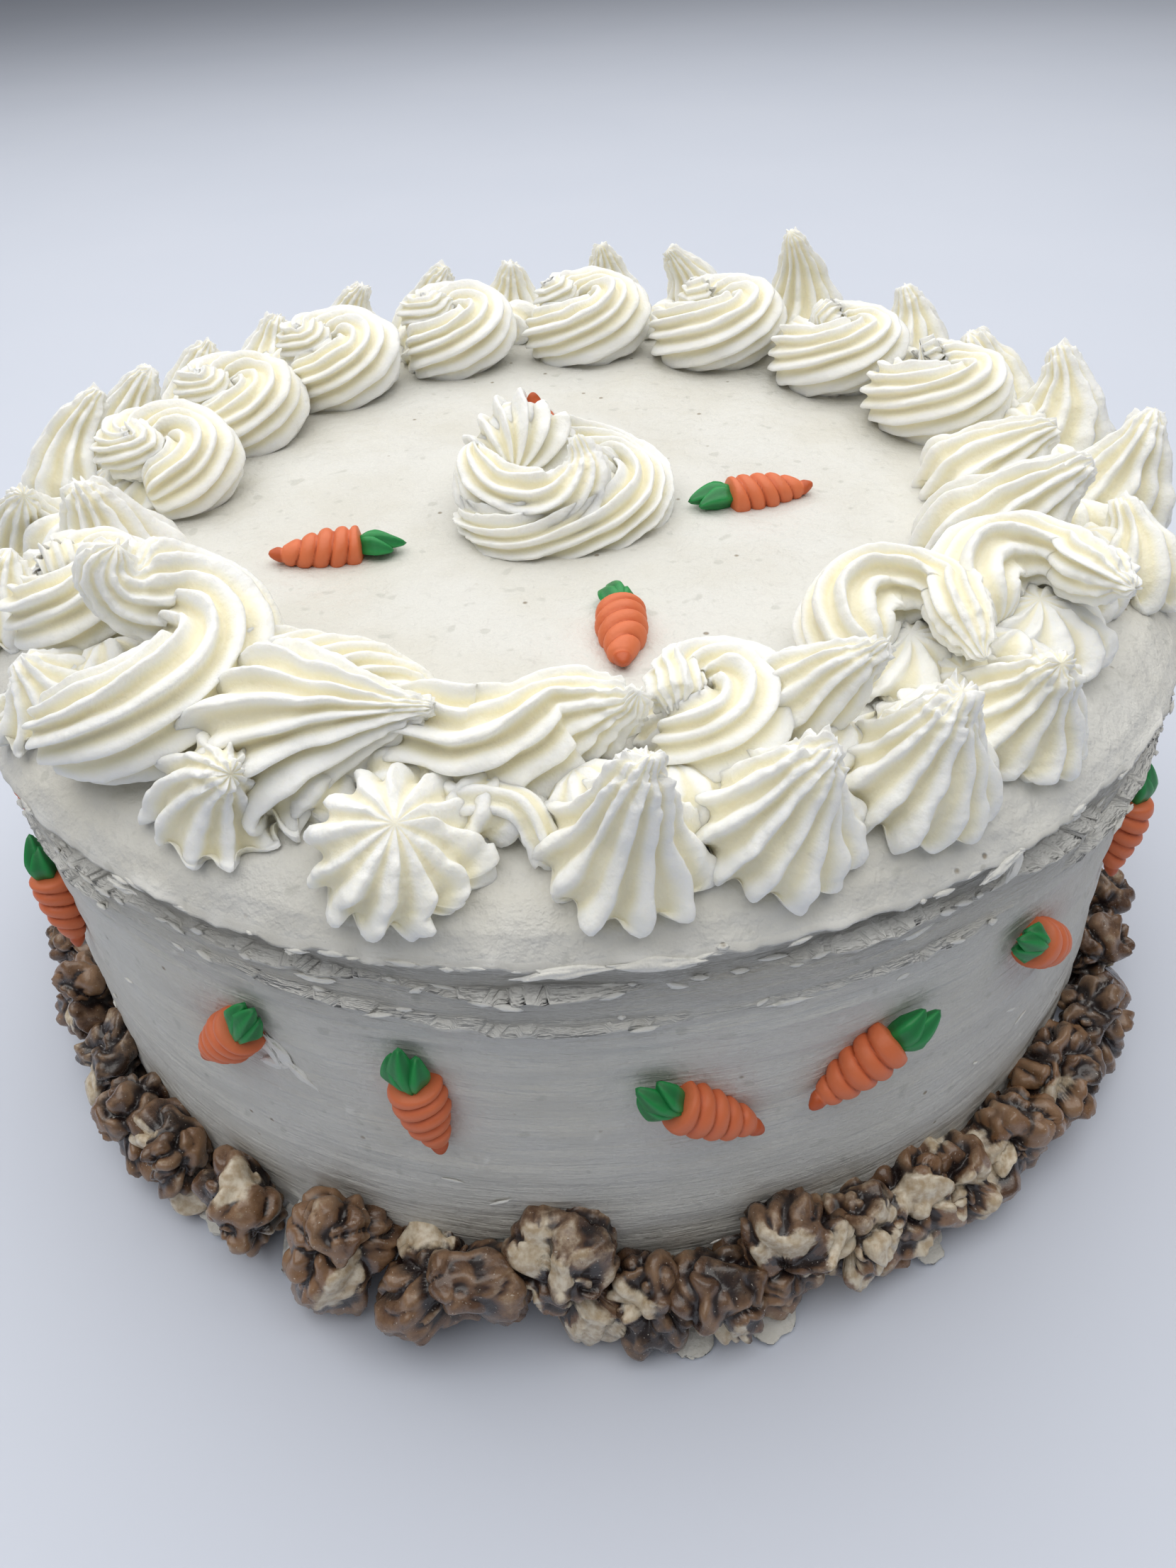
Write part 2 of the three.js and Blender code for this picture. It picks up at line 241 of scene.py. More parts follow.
def finished_piece(name: str, skins: list[Skin], finishes: list[Material]) -> bpy.types.Object:
    """Joins skins into one smooth-shaded object, each skin in its own finish.

    Args:
        name: the piece's name.
        skins: closed skins, used up here.
        finishes: one material for each skin, repeated ones shared.

    Returns:
        The object, linked to the scene, at the origin.
    """
    mesh = bpy.data.meshes.new(name)
    unique = list(dict.fromkeys(finishes))
    joined = bmesh.new()
    for skin, finish in zip(skins, finishes):
        for face in skin.faces:
            face.smooth = True
            face.material_index = unique.index(finish)
        part = bpy.data.meshes.new("part")
        skin.to_mesh(part)
        skin.free()
        joined.from_mesh(part)
        bpy.data.meshes.remove(part)
    joined.to_mesh(mesh)
    joined.free()
    for finish in unique:
        mesh.materials.append(finish)
    return linked(name, mesh)


def place_piece(
    name: str, skins: list[Skin], finish: Material | list[Material], slot: str, *nodes: str
) -> None:
    """Finishes a piece, rides it on the cake and hides the CAD nodes that it stands for.

    Args:
        name: the piece's name.
        skins: its closed skins.
        finish: one material for them all, or one for each.
        slot: a material slot; not used.
        nodes: CAD nodes that it replaces.
    """
    piece = finished_piece(name, skins, finish if isinstance(finish, list) else [finish] * len(skins))
    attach(piece, "root")
    if nodes:
        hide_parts(*nodes)
    log.info("%s: %d faces", piece.name, len(piece.data.polygons))


# ---- finishes --------------------------------------------------------------------------------------


class Socketed:
    """Small helpers for wiring a node tree."""

    def __init__(self, tree: bpy.types.NodeTree) -> None:
        """Keeps the tree that is wired."""
        self.tree = tree

    def node(self, kind: str, **settings: object) -> bpy.types.Node:
        """Adds a node and sets its properties."""
        made = self.tree.nodes.new(kind)
        for key, value in settings.items():
            setattr(made, key, value)
        return made

    def feed(self, target: Socket, source: object) -> None:
        """Links a socket to an input, or sets the input to a constant."""
        if isinstance(source, Socket):
            self.tree.links.new(source, target)
        else:
            target.default_value = source

    def noise(self, coordinates: object, scale: float, detail: float = 3.0, rough: float = 0.5) -> Socket:
        """Noise at a scale, as a value socket."""
        made = self.node("ShaderNodeTexNoise")
        self.feed(made.inputs["Vector"], coordinates)
        made.inputs["Scale"].default_value = scale
        made.inputs["Detail"].default_value = detail
        made.inputs["Roughness"].default_value = rough
        return made.outputs["Fac"]

    def remap(
        self, value: object, low: float, high: float, to_low: float = 0.0, to_high: float = 1.0
    ) -> Socket:
        """Maps a range of values to another, held at its ends and eased."""
        made = self.node("ShaderNodeMapRange", interpolation_type="SMOOTHSTEP")
        self.feed(made.inputs["Value"], value)
        for name, number in (("From Min", low), ("From Max", high), ("To Min", to_low), ("To Max", to_high)):
            made.inputs[name].default_value = number
        return made.outputs["Result"]

    def maths(self, operation: str, a: object, b: object = 0.0) -> Socket:
        """One maths node."""
        made = self.node("ShaderNodeMath", operation=operation)
        self.feed(made.inputs[0], a)
        self.feed(made.inputs[1], b)
        return made.outputs[0]

    def times(self, a: object, b: object) -> Socket:
        """The product of two values."""
        return self.maths("MULTIPLY", a, b)

    def plus(self, a: object, b: object) -> Socket:
        """The sum of two values."""
        return self.maths("ADD", a, b)

    def blend(self, share: object, a: object, b: object) -> Socket:
        """Mixes two colours."""
        made = self.node("ShaderNodeMix", data_type="RGBA")
        self.feed(made.inputs["Factor"], share)
        self.feed(made.inputs[6], a)
        self.feed(made.inputs[7], b)
        return made.outputs[2]

    def stretched(self, coordinates: object, scale: Point) -> Socket:
        """Coordinates scaled along each axis."""
        made = self.node("ShaderNodeMapping")
        self.feed(made.inputs["Vector"], coordinates)
        made.inputs["Scale"].default_value = scale
        return made.outputs["Vector"]

    def mark(self, name: str) -> Socket:
        """A float mark stored on the piece's points."""
        return self.node("ShaderNodeAttribute", attribute_name=name).outputs["Fac"]

    def place(self) -> Socket:
        """Object coordinates."""
        return self.node("ShaderNodeTexCoord").outputs["Object"]


def grain_group() -> bpy.types.NodeTree:
    """The frosting's fine surface, shared by every frosting: a pitted height and a speck mask.

    Returns:
        The node group, made once.
    """
    name = "frosting_grain"
    if name in bpy.data.node_groups:
        return bpy.data.node_groups[name]
    tree = bpy.data.node_groups.new(name, "ShaderNodeTree")
    tree.interface.new_socket("Place", in_out="INPUT", socket_type="NodeSocketVector")
    tree.interface.new_socket("Height", in_out="OUTPUT", socket_type="NodeSocketFloat")
    tree.interface.new_socket("Speck", in_out="OUTPUT", socket_type="NodeSocketFloat")
    tree.interface.new_socket("Cloud", in_out="OUTPUT", socket_type="NodeSocketFloat")
    wire = Socketed(tree)
    place = wire.node("NodeGroupInput").outputs["Place"]
    out = wire.node("NodeGroupOutput")
    fine = wire.noise(place, 900.0, 4.0, 0.6)
    soft = wire.noise(place, 220.0, 3.0)
    height = wire.plus(wire.times(fine, 0.35), wire.times(soft, 0.65))
    cells = wire.node("ShaderNodeTexVoronoi")
    wire.feed(cells.inputs["Vector"], place)
    cells.inputs["Scale"].default_value = 230.0
    split = wire.node("ShaderNodeSeparateColor")
    wire.feed(split.inputs["Color"], cells.outputs["Color"])
    near = wire.remap(cells.outputs["Distance"], 0.05, 0.14, 1.0, 0.0)
    rare = wire.remap(split.outputs["Red"], 0.87, 0.91)
    wire.feed(out.inputs["Height"], height)
    wire.feed(out.inputs["Speck"], wire.times(near, rare))
    wire.feed(out.inputs["Cloud"], wire.noise(place, 35.0, 4.0, 0.6))
    return tree


@dataclass(frozen=True)
class Finish:
    """What every finish has: a name, a roughness and a way to be made."""

    name: str
    roughness: float = 0.5

    def shader(self) -> tuple[Material, Socketed, bpy.types.Node]:
        """A new material with its Principled shader.

        Returns:
            The material, its wiring helper and the Principled node.
        """
        material = bpy.data.materials.new(self.name)
        material.use_nodes = True
        wire = Socketed(material.node_tree)
        principled = material.node_tree.nodes["Principled BSDF"]
        principled.inputs["Roughness"].default_value = self.roughness
        return material, wire, principled

    def fix(self, principled: bpy.types.Node, **values: object) -> None:
        """Sets values that are the same all over, each named as its socket with _ for a space."""
        for name, value in values.items():
            principled.inputs[name.replace("_", " ")].default_value = value

    def raise_surface(
        self, wire: Socketed, principled: bpy.types.Node, height: object, distance: float, strength: float
    ) -> None:
        """Bumps the surface by a height.

        Args:
            wire: the material's wiring helper.
            principled: the shader that gets the normal.
            height: height socket.
            distance: metres that a height of one stands for.
            strength: share of the bump that is used.
        """
        bump = wire.node("ShaderNodeBump")
        wire.feed(bump.inputs["Height"], height)
        bump.inputs["Distance"].default_value = distance
        bump.inputs["Strength"].default_value = strength
        wire.feed(principled.inputs["Normal"], bump.outputs["Normal"])


@dataclass(frozen=True)
class SpreadFrosting(Finish):
    """Cream cheese frosting spread with a spatula: off-white, streaked, with a few dark specks, painted shade on the
    side and in small pits, and paler torn places as a painted highlight.
    """

    pale: Colour = (0.70, 0.697, 0.668, 1.0)
    deep: Colour = (0.655, 0.642, 0.592, 1.0)
    speck: Colour = (0.26, 0.20, 0.13, 1.0)
    # painted shade of the side, deepest in the band under the lip
    side: Colour = (0.60, 0.583, 0.54, 1.0)
    # painted highlight on torn edges, ledge rims and shards, where they catch the light
    torn: Colour = (0.90, 0.895, 0.86, 1.0)
    # painted shade in small pits
    pit_shade: Colour = (0.50, 0.50, 0.46, 1.0)

    def make(self) -> Material:
        """Makes the material.

        Returns:
            The spread frosting.
        """
        material, wire, principled = self.shader()
        place = wire.place()
        grain = wire.node("ShaderNodeGroup", node_tree=grain_group())
        wire.feed(grain.inputs["Place"], place)
        streak = wire.noise(wire.stretched(place, (22.0, 22.0, 380.0)), 1.0, 6.0, 0.68)
        side = wire.mark("side")
        cloud = wire.remap(grain.outputs["Cloud"], 0.35, 0.7)
        base = wire.blend(cloud, self.pale, self.deep)
        # painted shade: the side mark darkens the side, most of all under the lip
        base = wire.blend(wire.times(side, 0.6), base, self.side)
        # painted highlight: torn places are painted paler
        torn = wire.remap(wire.mark("tear"), 0.1, 0.7)
        base = wire.blend(wire.times(torn, 0.75), base, self.torn)
        # painted shade in small pits, with no dent under it
        pit_shade = wire.remap(wire.noise(place, 300.0, 1.0, 0.4), 0.67, 0.76)
        base = wire.blend(wire.times(pit_shade, 0.5), base, self.pit_shade)
        base = wire.blend(wire.times(grain.outputs["Speck"], 0.8), base, self.speck)
        wire.feed(principled.inputs["Base Color"], base)
        wire.feed(principled.inputs["Roughness"], wire.remap(streak, 0.3, 0.7, 0.42, 0.58))
        streaks = wire.times(wire.times(streak, side), 20.0)
        height = wire.plus(grain.outputs["Height"], streaks)
        height = wire.maths("SUBTRACT", height, wire.times(grain.outputs["Speck"], 0.8))
        lumps = wire.noise(place, 110.0, 5.0, 0.62)
        height = wire.plus(height, wire.times(lumps, 6.0))
        self.raise_surface(wire, principled, height, 0.00035, 0.8)
        self.fix(principled, Specular_IOR_Level=0.3)
        return material


@dataclass(frozen=True)
class PipedFrosting(Finish):
    """Piped frosting: soft white crests over warm ivory grooves, whose darker, warmer colour is painted shade and
    painted bounce light.
    """

    crest: Colour = (0.91, 0.915, 0.897, 1.0)
    # painted shade and warm painted bounce light in the grooves
    groove: Colour = (0.90, 0.857, 0.68, 1.0)

    def make(self) -> Material:
        """Makes the material.

        Returns:
            The piped frosting.
        """
        material, wire, principled = self.shader()
        place = wire.place()
        grain = wire.node("ShaderNodeGroup", node_tree=grain_group())
        wire.feed(grain.inputs["Place"], place)
        ridge = wire.remap(wire.mark("ridge"), 0.05, 0.75)
        cloud = wire.times(wire.remap(grain.outputs["Cloud"], 0.4, 0.7), 0.25)
        share = wire.maths("SUBTRACT", ridge, cloud)
        # the grooves get the painted shade colour, the crests the white
        base = wire.blend(share, self.groove, self.crest)
        wire.feed(principled.inputs["Base Color"], base)
        wire.feed(principled.inputs["Roughness"], wire.remap(ridge, 0.0, 1.0, 0.42, 0.55))
        height = wire.plus(grain.outputs["Height"], wire.times(wire.noise(place, 420.0, 3.0, 0.6), 2.4))
        self.raise_surface(wire, principled, height, 0.0003, 0.7)
        self.fix(principled, Specular_IOR_Level=0.22, Subsurface_Weight=0.55)
        self.fix(principled, Subsurface_Radius=(1.0, 0.93, 0.78), Subsurface_Scale=0.0022)
        return material


@dataclass(frozen=True)
class SetIcing(Finish):
    """Set icing of the carrots: even colour, with painted shade that is darker and redder in the creases."""

    lit: Colour = (0.72, 0.178, 0.066, 1.0)
    # painted shade in the creases between the rolls and in the leaf's flutes
    crease: Colour = (0.50, 0.09, 0.02, 1.0)
    spread: float = 0.06  # how far the roughness strays from its middle

    def make(self) -> Material:
        """Makes the material.

        Returns:
            The icing.
        """
        material, wire, principled = self.shader()
        place = wire.place()
        cloud = wire.noise(place, 260.0, 3.0)
        rise = wire.remap(wire.mark("ridge"), 0.0, 0.7)
        share = wire.times(rise, wire.remap(cloud, 0.2, 0.8, 0.85, 1.0))
        # painted shade: the creases get the crease colour
        wire.feed(principled.inputs["Base Color"], wire.blend(share, self.crease, self.lit))
        gloss = wire.remap(cloud, 0.3, 0.7, self.roughness - self.spread, self.roughness + self.spread)
        wire.feed(principled.inputs["Roughness"], gloss)
        self.raise_surface(wire, principled, wire.noise(place, 1400.0, 3.0), 0.0002, 0.35)
        return material


@dataclass(frozen=True)
class WalnutSkin(Finish):
    """Walnut: papery brown skin, painted shade near black in the folds and hollows, a painted highlight on the
    ridges, cream where it is broken.
    """

    # skin_dark serves both dark patches of skin and the painted shade of folds and hollows
    skin_dark: Colour = (0.020, 0.012, 0.011, 1.0)
    skin_mid: Colour = (0.084, 0.042, 0.025, 1.0)
    skin_gold: Colour = (0.22, 0.114, 0.055, 1.0)
    # painted highlight on the ridges, partly rubbed skin
    rim: Colour = (0.34, 0.205, 0.112, 1.0)
    flesh: Colour = (0.74, 0.66, 0.52, 1.0)
    bruise: Colour = (0.50, 0.38, 0.24, 1.0)
    dust: Colour = (0.75, 0.70, 0.62, 1.0)

    def make(self) -> Material:
        """Makes the material.

        Returns:
            The walnut.
        """
        material, wire, principled = self.shader()
        place = wire.place()
        tone = wire.mark("tone")
        # painted shade: where the fold mark is low, in the folds, the skin goes near black
        fold = wire.remap(wire.mark("fold"), 0.02, 0.45)
        patch = wire.noise(place, 165.0, 6.0, 0.65)
        skin = wire.blend(wire.remap(wire.plus(patch, tone), 0.2, 1.0), self.skin_mid, self.skin_gold)
        skin = wire.blend(wire.remap(wire.plus(patch, tone), 0.1, -0.35), skin, self.skin_dark)
        skin = wire.blend(fold, self.skin_dark, skin)
        ridge = wire.remap(wire.mark("convex"), 0.35, 0.9)
        # painted highlight on convex ridges, partly rubbed skin
        rubbed_and_highlit = wire.times(ridge, wire.remap(patch, 0.38, 0.62, 0.06, 0.62))
        skin = wire.blend(rubbed_and_highlit, skin, self.rim)
        # painted shade in concave hollows, near black
        hollow_shade = wire.remap(wire.mark("convex"), 0.50, 0.20)
        skin = wire.blend(wire.times(hollow_shade, 0.95), skin, self.skin_dark)
        knob = wire.times(ridge, wire.plus(wire.times(wire.mark("bare"), 0.62), 0.12))
        bare = wire.plus(wire.mark("flesh"), wire.times(wire.maths("SUBTRACT", patch, 0.5), 1.9))
        bare = wire.remap(wire.plus(bare, knob), 0.46, 0.98)
        grit = wire.remap(wire.noise(place, 700.0, 4.0), 0.3, 0.7)
        fleshy = wire.blend(grit, self.flesh, self.bruise)
        base = wire.blend(bare, skin, fleshy)
        dust = wire.remap(wire.noise(place, 2300.0, 2.0), 0.69, 0.74)
        base = wire.blend(wire.times(dust, 0.6), base, self.dust)
        wire.feed(principled.inputs["Base Color"], base)
        wire.feed(principled.inputs["Roughness"], wire.remap(patch, 0.35, 0.65, 0.24, 0.42))
        height = wire.plus(wire.noise(place, 800.0, 4.0, 0.6), patch)
        self.raise_surface(wire, principled, height, 0.0003, 0.6)
        self.fix(principled, Coat_Weight=0.5, Coat_Roughness=0.18)
        return material


# ---- the cake's coat -----------------------------------------------------------------------------------


@dataclass
class IcingCarrotPlace:
    """Where one icing carrot lies on the side: middle, and direction from leaf to tip."""

    azimuth: float
    height: float
    direction: float
    node: str = ""


NAMED_CARROTS = 8  # those that have a CAD node
SIDE_CARROTS = [
    IcingCarrotPlace(*row, f"side_carrot_{k}" if k <= NAMED_CARROTS else "")
    for k, row in enumerate(
        (
            (-74.0, 60.0, -75.0), (-57.0, 60.0, -80.0), (-29.5, 63.0, -130.0), (-13.5, 60.0, -83.0),
            (7.2, 57.0, -38.0), (21.3, 59.0, -150.0), (39.5, 62.0, -38.0), (59.0, 62.0, -98.0),
            (78.0, 60.0, -60.0), (96.0, 58.0, -120.0), (115.0, 61.0, -85.0), (134.0, 59.0, -145.0),
            (153.0, 62.0, -50.0), (171.0, 58.0, -95.0), (190.0, 60.0, -130.0), (209.0, 61.0, -70.0),
            (228.0, 59.0, -40.0), (247.0, 62.0, -110.0), (267.0, 59.0, -88.0),
        ),
        start=1,
    )
]


def shoulder_height(radius: Array | float) -> Array | float:
    """Height of the coat's upper surface at a radius, from the flat top out to the lip."""
    radii = [0.0, 80.0, 92.0, 100.0, 107.0, 112.5, 116.5, 118.2]
    heights = [TOP_Z, TOP_Z, TOP_Z - 0.1, TOP_Z - 0.7, TOP_Z - 2.2, TOP_Z - 4.4, TOP_Z - 7.2, TOP_Z - 9.5]
    return np.interp(radius, radii, heights)


@dataclass
class SpreadCoat:
    """The cake's solid body in its coat of spread frosting: streaked side, torn lip, flat top."""

    around_steps: int = 700
    sway: float = 0.9  # low waves of the spread side, mm
    streak: float = 0.9  # depth of the spatula's streaks, mm
    ledge_heights: tuple[float, float] = (85.0, 78.8)
    ledge_reach: tuple[float, float] = (1.9, 1.4)
    shelf_under: float = 4.5  # how far a ledge fades downward, mm
    shelf_over: float = 2.6  # how far its hollow fades upward, mm
    scoop_z: float = 88.0  # height of the hollow under the lip, mm
    scoop_half: float = 3.4
    carrot_dent: float = 0.9  # how deep the carrots are pressed in, mm
    outline: tuple[tuple[float, float, int], ...] = (  # radius, height, cuts to the next
        (0.0, 0.0, 1), (108.0, 0.0, 2), (115.2, 0.2, 2), (116.6, 3.0, 30), (117.0, 72.0, 20),
        (117.0, 84.0, 18), (117.0, 91.2, 4), (118.6, LIP_Z, 4), (118.3, LIP_Z + 1.6, 6),
        (116.5, TOP_Z - 7.2, 6), (112.5, TOP_Z - 4.4, 6), (107.0, TOP_Z - 2.2, 5), (100.0, TOP_Z - 0.7, 6),
        (80.0, TOP_Z, 24), (0.0, TOP_Z, 0),
    )

    def profile(self) -> Array:
        """The outline as evenly cut stretches.

        Returns:
            Rows of radius and height, from the underside's middle to the top's.
        """
        rows = []
        for (r0, z0, steps), (r1, z1, _) in zip(self.outline, self.outline[1:]):
            for k in range(steps):
                share = k / steps
                rows.append((r0 + (r1 - r0) * share, z0 + (z1 - z0) * share))
        rows.append(self.outline[-1][:2])
        return np.array(rows)

    def ledge_line(self, theta: Array, which: int) -> Array:
        """Height at which a scraped ledge wanders round the side.

        Args:
            theta: angle round the cake, from +X.
            which: 0 for the upper ledge, 1 for the lower, LIP for the lip.

        Returns:
            Heights in millimetres.
        """
        level = (*self.ledge_heights, LIP_Z)[which]
        slow = 5.0 * ripple(wound(theta, 1.7, which), 11)
        ragged = 1.7 * ripple(wound(theta, 15.0, which), 12) + 1.1 * ripple(wound(theta, 42.0, which), 14)
        return level + (0.45 if which == LIP else 1.0) * slow + ragged

    def side_relief(self, theta: Array, z: Array) -> tuple[Array, Array]:
        """How far the side stands out.

        Args:
            theta: angle round the cake.
            z: height, mm.

        Returns:
            The relief in millimetres, and a mark of torn, scraped frosting, which the finish paints paler as a
            highlight.
        """
        slow = ripple(wound(theta, 2.2, z / 45.0), 3)
        band = ripple(wound(theta, 3.0, z / 3.2), 5)
        fine = ripple(wound(theta, 9.0, z / 1.1), 7)
        relief = self.sway * slow + self.streak * band + 0.5 * self.streak * fine
        torn = np.zeros_like(theta)
        for k, reach in enumerate(self.ledge_reach):
            wander = self.ledge_line(theta, k)
            strength = np.clip(0.5 + 2.2 * ripple(wound(theta, 3.4, k + 9), 13), 0.1, 1)
            below = wander - z
            under = np.exp(-np.clip(below, 0, None) / self.shelf_under)
            shelf = np.where(below > 0, under, -0.9 * np.exp(-np.clip(-below, 0, None) / self.shelf_over))
            rim = np.exp(-(((below - 0.3) / 0.8) ** 2))
            relief += reach * strength * (shelf + 0.45 * rim)
            torn += rim * strength
        scoop = ripple(wound(theta, 2.6, z / 9.0), 15)
        relief -= (0.7 + 1.4 * scoop) * np.exp(-(((z - self.scoop_z) / self.scoop_half) ** 2))
        picks = layered(wound(theta, 26.0, z / 4.5), 2, 21)
        patchy = ripple(wound(theta, 4.0, z / 14.0), 22)
        pick = unit(picks - 0.42) * unit(0.3 + 2.0 * patchy)
        relief += 2.0 * pick
        torn += 3.0 * pick
        return relief, torn

    def dents(self, theta: Array, z: Array) -> Array:
        """The hollows that the pressed carrots leave in the side.

        Args:
            theta: angle round the cake, from +X.
            z: height, mm.

        Returns:
            Depth in millimetres.
        """
        depth = np.zeros_like(theta)
        azimuth = np.degrees(theta) + 90.0
        for spot in SIDE_CARROTS:
            across = ((azimuth - spot.azimuth + 180.0) % 360.0 - 180.0) * math.pi / 180.0 * SIDE_R
            up = z - spot.height
            turn = math.radians(spot.direction)
            along = across * math.cos(turn) + up * math.sin(turn)
            beside = -across * math.sin(turn) + up * math.cos(turn)
            depth += np.exp(-((along / 14.5) ** 4) - (beside / 6.8) ** 2)
        return self.carrot_dent * depth

    def rule(self, turn: Array, along: Array) -> Shape:
        """Shape of the coat.

        Args:
            turn: share of the way round.
            along: share of the way from the underside's middle to the top's.

        Returns:
            Places in millimetres, and the marks "side", for the streaks and the painted shade of the side, and
            "tear", for torn places painted paler as a highlight.
        """
        rows = self.profile()
        k = np.rint(along * (len(rows) - 1)).astype(int)
        radius, z = rows[k, 0].copy(), rows[k, 1].copy()
        theta = turn * TAU
        circle = np.stack([np.cos(theta), np.sin(theta)], axis=-1)
        on_side = unit((radius - 112.0) / 4.0) * unit((LIP_Z + 1.5 - z) / 3.0)
        near_lip = np.exp(-(((z - LIP_Z) / 2.6) ** 2)) * (radius > 110)
        relief, torn = self.side_relief(theta, z)
        radius = radius + on_side * (relief - self.dents(theta, z)) * unit(z / 3.0)
        lip_line = self.ledge_line(theta, LIP) - LIP_Z
        rag = ripple(wound(theta, 9.0, 0.0), 32) + 0.8 * ripple(wound(theta, 30.0, 0.0), 33)
        z = z + near_lip * lip_line
        radius = radius + near_lip * (0.3 + 1.2 * np.abs(rag))
        flat = np.stack([radius * circle[:, 0], radius * circle[:, 1], z], axis=1)
        on_top = unit((z - TOP_Z + 8.0) / 5.0) * (radius < 117.5)
        swell = 0.35 * ripple(flat / 30.0, 41) + 0.10 * ripple(flat / 7.0, 42)
        arcs = np.stack([radius / 3.4 + 1.5 * circle[:, 0], 1.6 * circle[:, 0], 1.6 * circle[:, 1]], axis=1)
        smear = unit((radius - 98.0) / 8.0) * (0.9 * ripple(arcs, 43) + 0.4 * ripple(arcs * 2.3, 44))
        z = z + on_top * (swell + smear) * unit(radius / 6.0)
        z = np.where(rows[k, 1] < 0.1, 0.0, z)
        places = np.stack([radius * circle[:, 0], radius * circle[:, 1], z], axis=1)
        # mask of the streaks and of the painted shade on the side, deepest under the lip
        streaks_and_side_shade = on_side * (0.3 + 0.7 * np.exp(-(((z - 86.0) / 8.0) ** 2)))
        marks = {"side": streaks_and_side_shade, "tear": torn * on_side + near_lip * unit(0.4 + 0.8 * rag)}
        return places, marks

    def build(self, finish: Material) -> None:
        """Builds and places the coat.

        Args:
            finish: the spread frosting.
        """
        steps = len(self.profile()) - 1
        skin = wrapped_surface(self.around_steps, steps, self.rule)
        place_piece("spread_coat", [skin], finish, "frosting", "cake_body")


@dataclass
class TornFlecks:
    """Small shards torn up by the spatula, most of them along the lip and the scraped ledges."""

    coat: SpreadCoat
    count: int = 360
    # the shards' paleness is a painted highlight on them
    tear: float = 0.4  # how pale the shards are
    seed: int = 61
    loose_band: tuple[float, float] = (8.0, 82.0)  # heights of the loose shards, mm
    lip_from: float = 88.0  # height from which a large shard stands out with the lip, mm
    large: tuple[Row, ...] = (  # azimuth, height, length, width, thickness, tilt
        (-2.0, 92.0, 15.0, 2.0, 1.6, 8.0), (4.0, 92.6, 14.0, 2.2, 1.8, -3.0),
        (31.5, 90.5, 6.0, 2.0, 1.4, 70.0), (30.0, 92.0, 8.0, 1.8, 1.5, 20.0),
        (-27.0, 62.0, 9.0, 2.4, 1.0, -65.0), (-25.5, 60.5, 10.0, 2.6, 1.2, -60.0),
        (-24.2, 57.0, 7.0, 2.2, 1.0, -50.0), (-26.8, 57.5, 6.0, 2.4, 0.9, 10.0),
        (-36.0, 90.8, 6.0, 1.4, 1.2, 0.0), (-20.0, 84.0, 7.0, 1.3, 1.0, 3.0),
        (14.0, 77.5, 8.0, 1.3, 1.0, -4.0), (24.0, 83.0, 6.0, 1.4, 1.0, 6.0),
    )

    def fleck(self, place: Array, azimuth: float, size: Point, tilt: float, seed: int, fine: int = 2) -> Skin:
        """One shard: a lumpy sliver that lies along the side.

        Args:
            place: its middle, mm.
            azimuth: where it is round the side, degrees.
            size: length, width and thickness, mm.
            tilt: turn against the rim, degrees.
            seed: its own seed.
            fine: subdivisions of the ball it is made from.

        Returns:
            The shard's skin.
        """
        skin = bmesh.new()
        bmesh.ops.create_icosphere(skin, subdivisions=fine, radius=1.0)
        ball = np.array([v.co for v in skin.verts])
        taper = 1.0 - 0.55 * np.abs(ball[:, :1]) ** 1.5
        shape = ball * (1.0 + 0.55 * ripple(ball * 1.6 + seed, seed)[:, None]) * np.array(size) / 2.0
        shape[:, 1:] *= taper
        sway = np.stack([ball[:, 0] * 2.0, ball[:, 0] * 0, ball[:, 0] * 0 + seed], axis=1)
        shape[:, 1] += 0.25 * size[1] * ripple(sway, seed + 1)
        turn = math.radians(tilt)
        side, out = around(1.0, azimuth + 90.0), around(1.0, azimuth)
        along = side * math.cos(turn) + UP * math.sin(turn)
        across = UP * math.cos(turn) - side * math.sin(turn)
        spots = place + shape[:, :1] * along + shape[:, 1:2] * across + shape[:, 2:] * out
        move_points(skin, spots)
        mark_points(skin, {"side": np.zeros(len(spots)), "tear": np.full(len(spots), self.tear)})
        bmesh.ops.recalc_face_normals(skin, faces=skin.faces)
        return skin

    def build(self, finish: Material) -> None:
        """Builds and places the shards.

        Args:
            finish: the spread frosting.
        """
        rng = np.random.default_rng(self.seed)
        azimuths = rng.uniform(-180.0, 180.0, self.count)
        lines = [self.coat.ledge_line(np.radians(azimuths - 90.0), k) for k in range(3)]
        skins = []
        for k, azimuth in enumerate(azimuths):
            which = (0, 0, 1, LIP, LIP, LOOSE)[k % 6]
            stray = rng.normal(0.0, 0.5)
            z = rng.uniform(*self.loose_band) if which == LOOSE else lines[which][k] + stray
            relief, _ = self.coat.side_relief(np.radians([azimuth - 90.0]), np.array([z]))
            reach = LIP_R if which == LIP else SIDE_R + float(relief[0]) + 0.1
            near = any(abs(azimuth - c.azimuth) < 9.0 and abs(z - c.height) < 15.0 for c in SIDE_CARROTS)
            if which == LOOSE and near:
                continue
            thin = 0.6 if which == LOOSE else 1.0
            size = (rng.uniform(1.2, 5.0), rng.uniform(0.5, 1.3), rng.uniform(0.6, 1.1) * thin)
            skins.append(self.fleck(around(reach, azimuth, z), azimuth, size, rng.normal(0.0, 14.0), k))
        for k, (azimuth, z, length, width, thick, tilt) in enumerate(self.large):
            relief, _ = self.coat.side_relief(np.radians([azimuth - 90.0]), np.array([z]))
            place = around(LIP_R + 0.1 if z > self.lip_from else SIDE_R + float(relief[0]), azimuth, z)
            skins.append(self.fleck(place, azimuth, (length, width, thick), tilt, 900 + k, 4))
        place_piece("torn_flecks", skins, finish, "frosting")


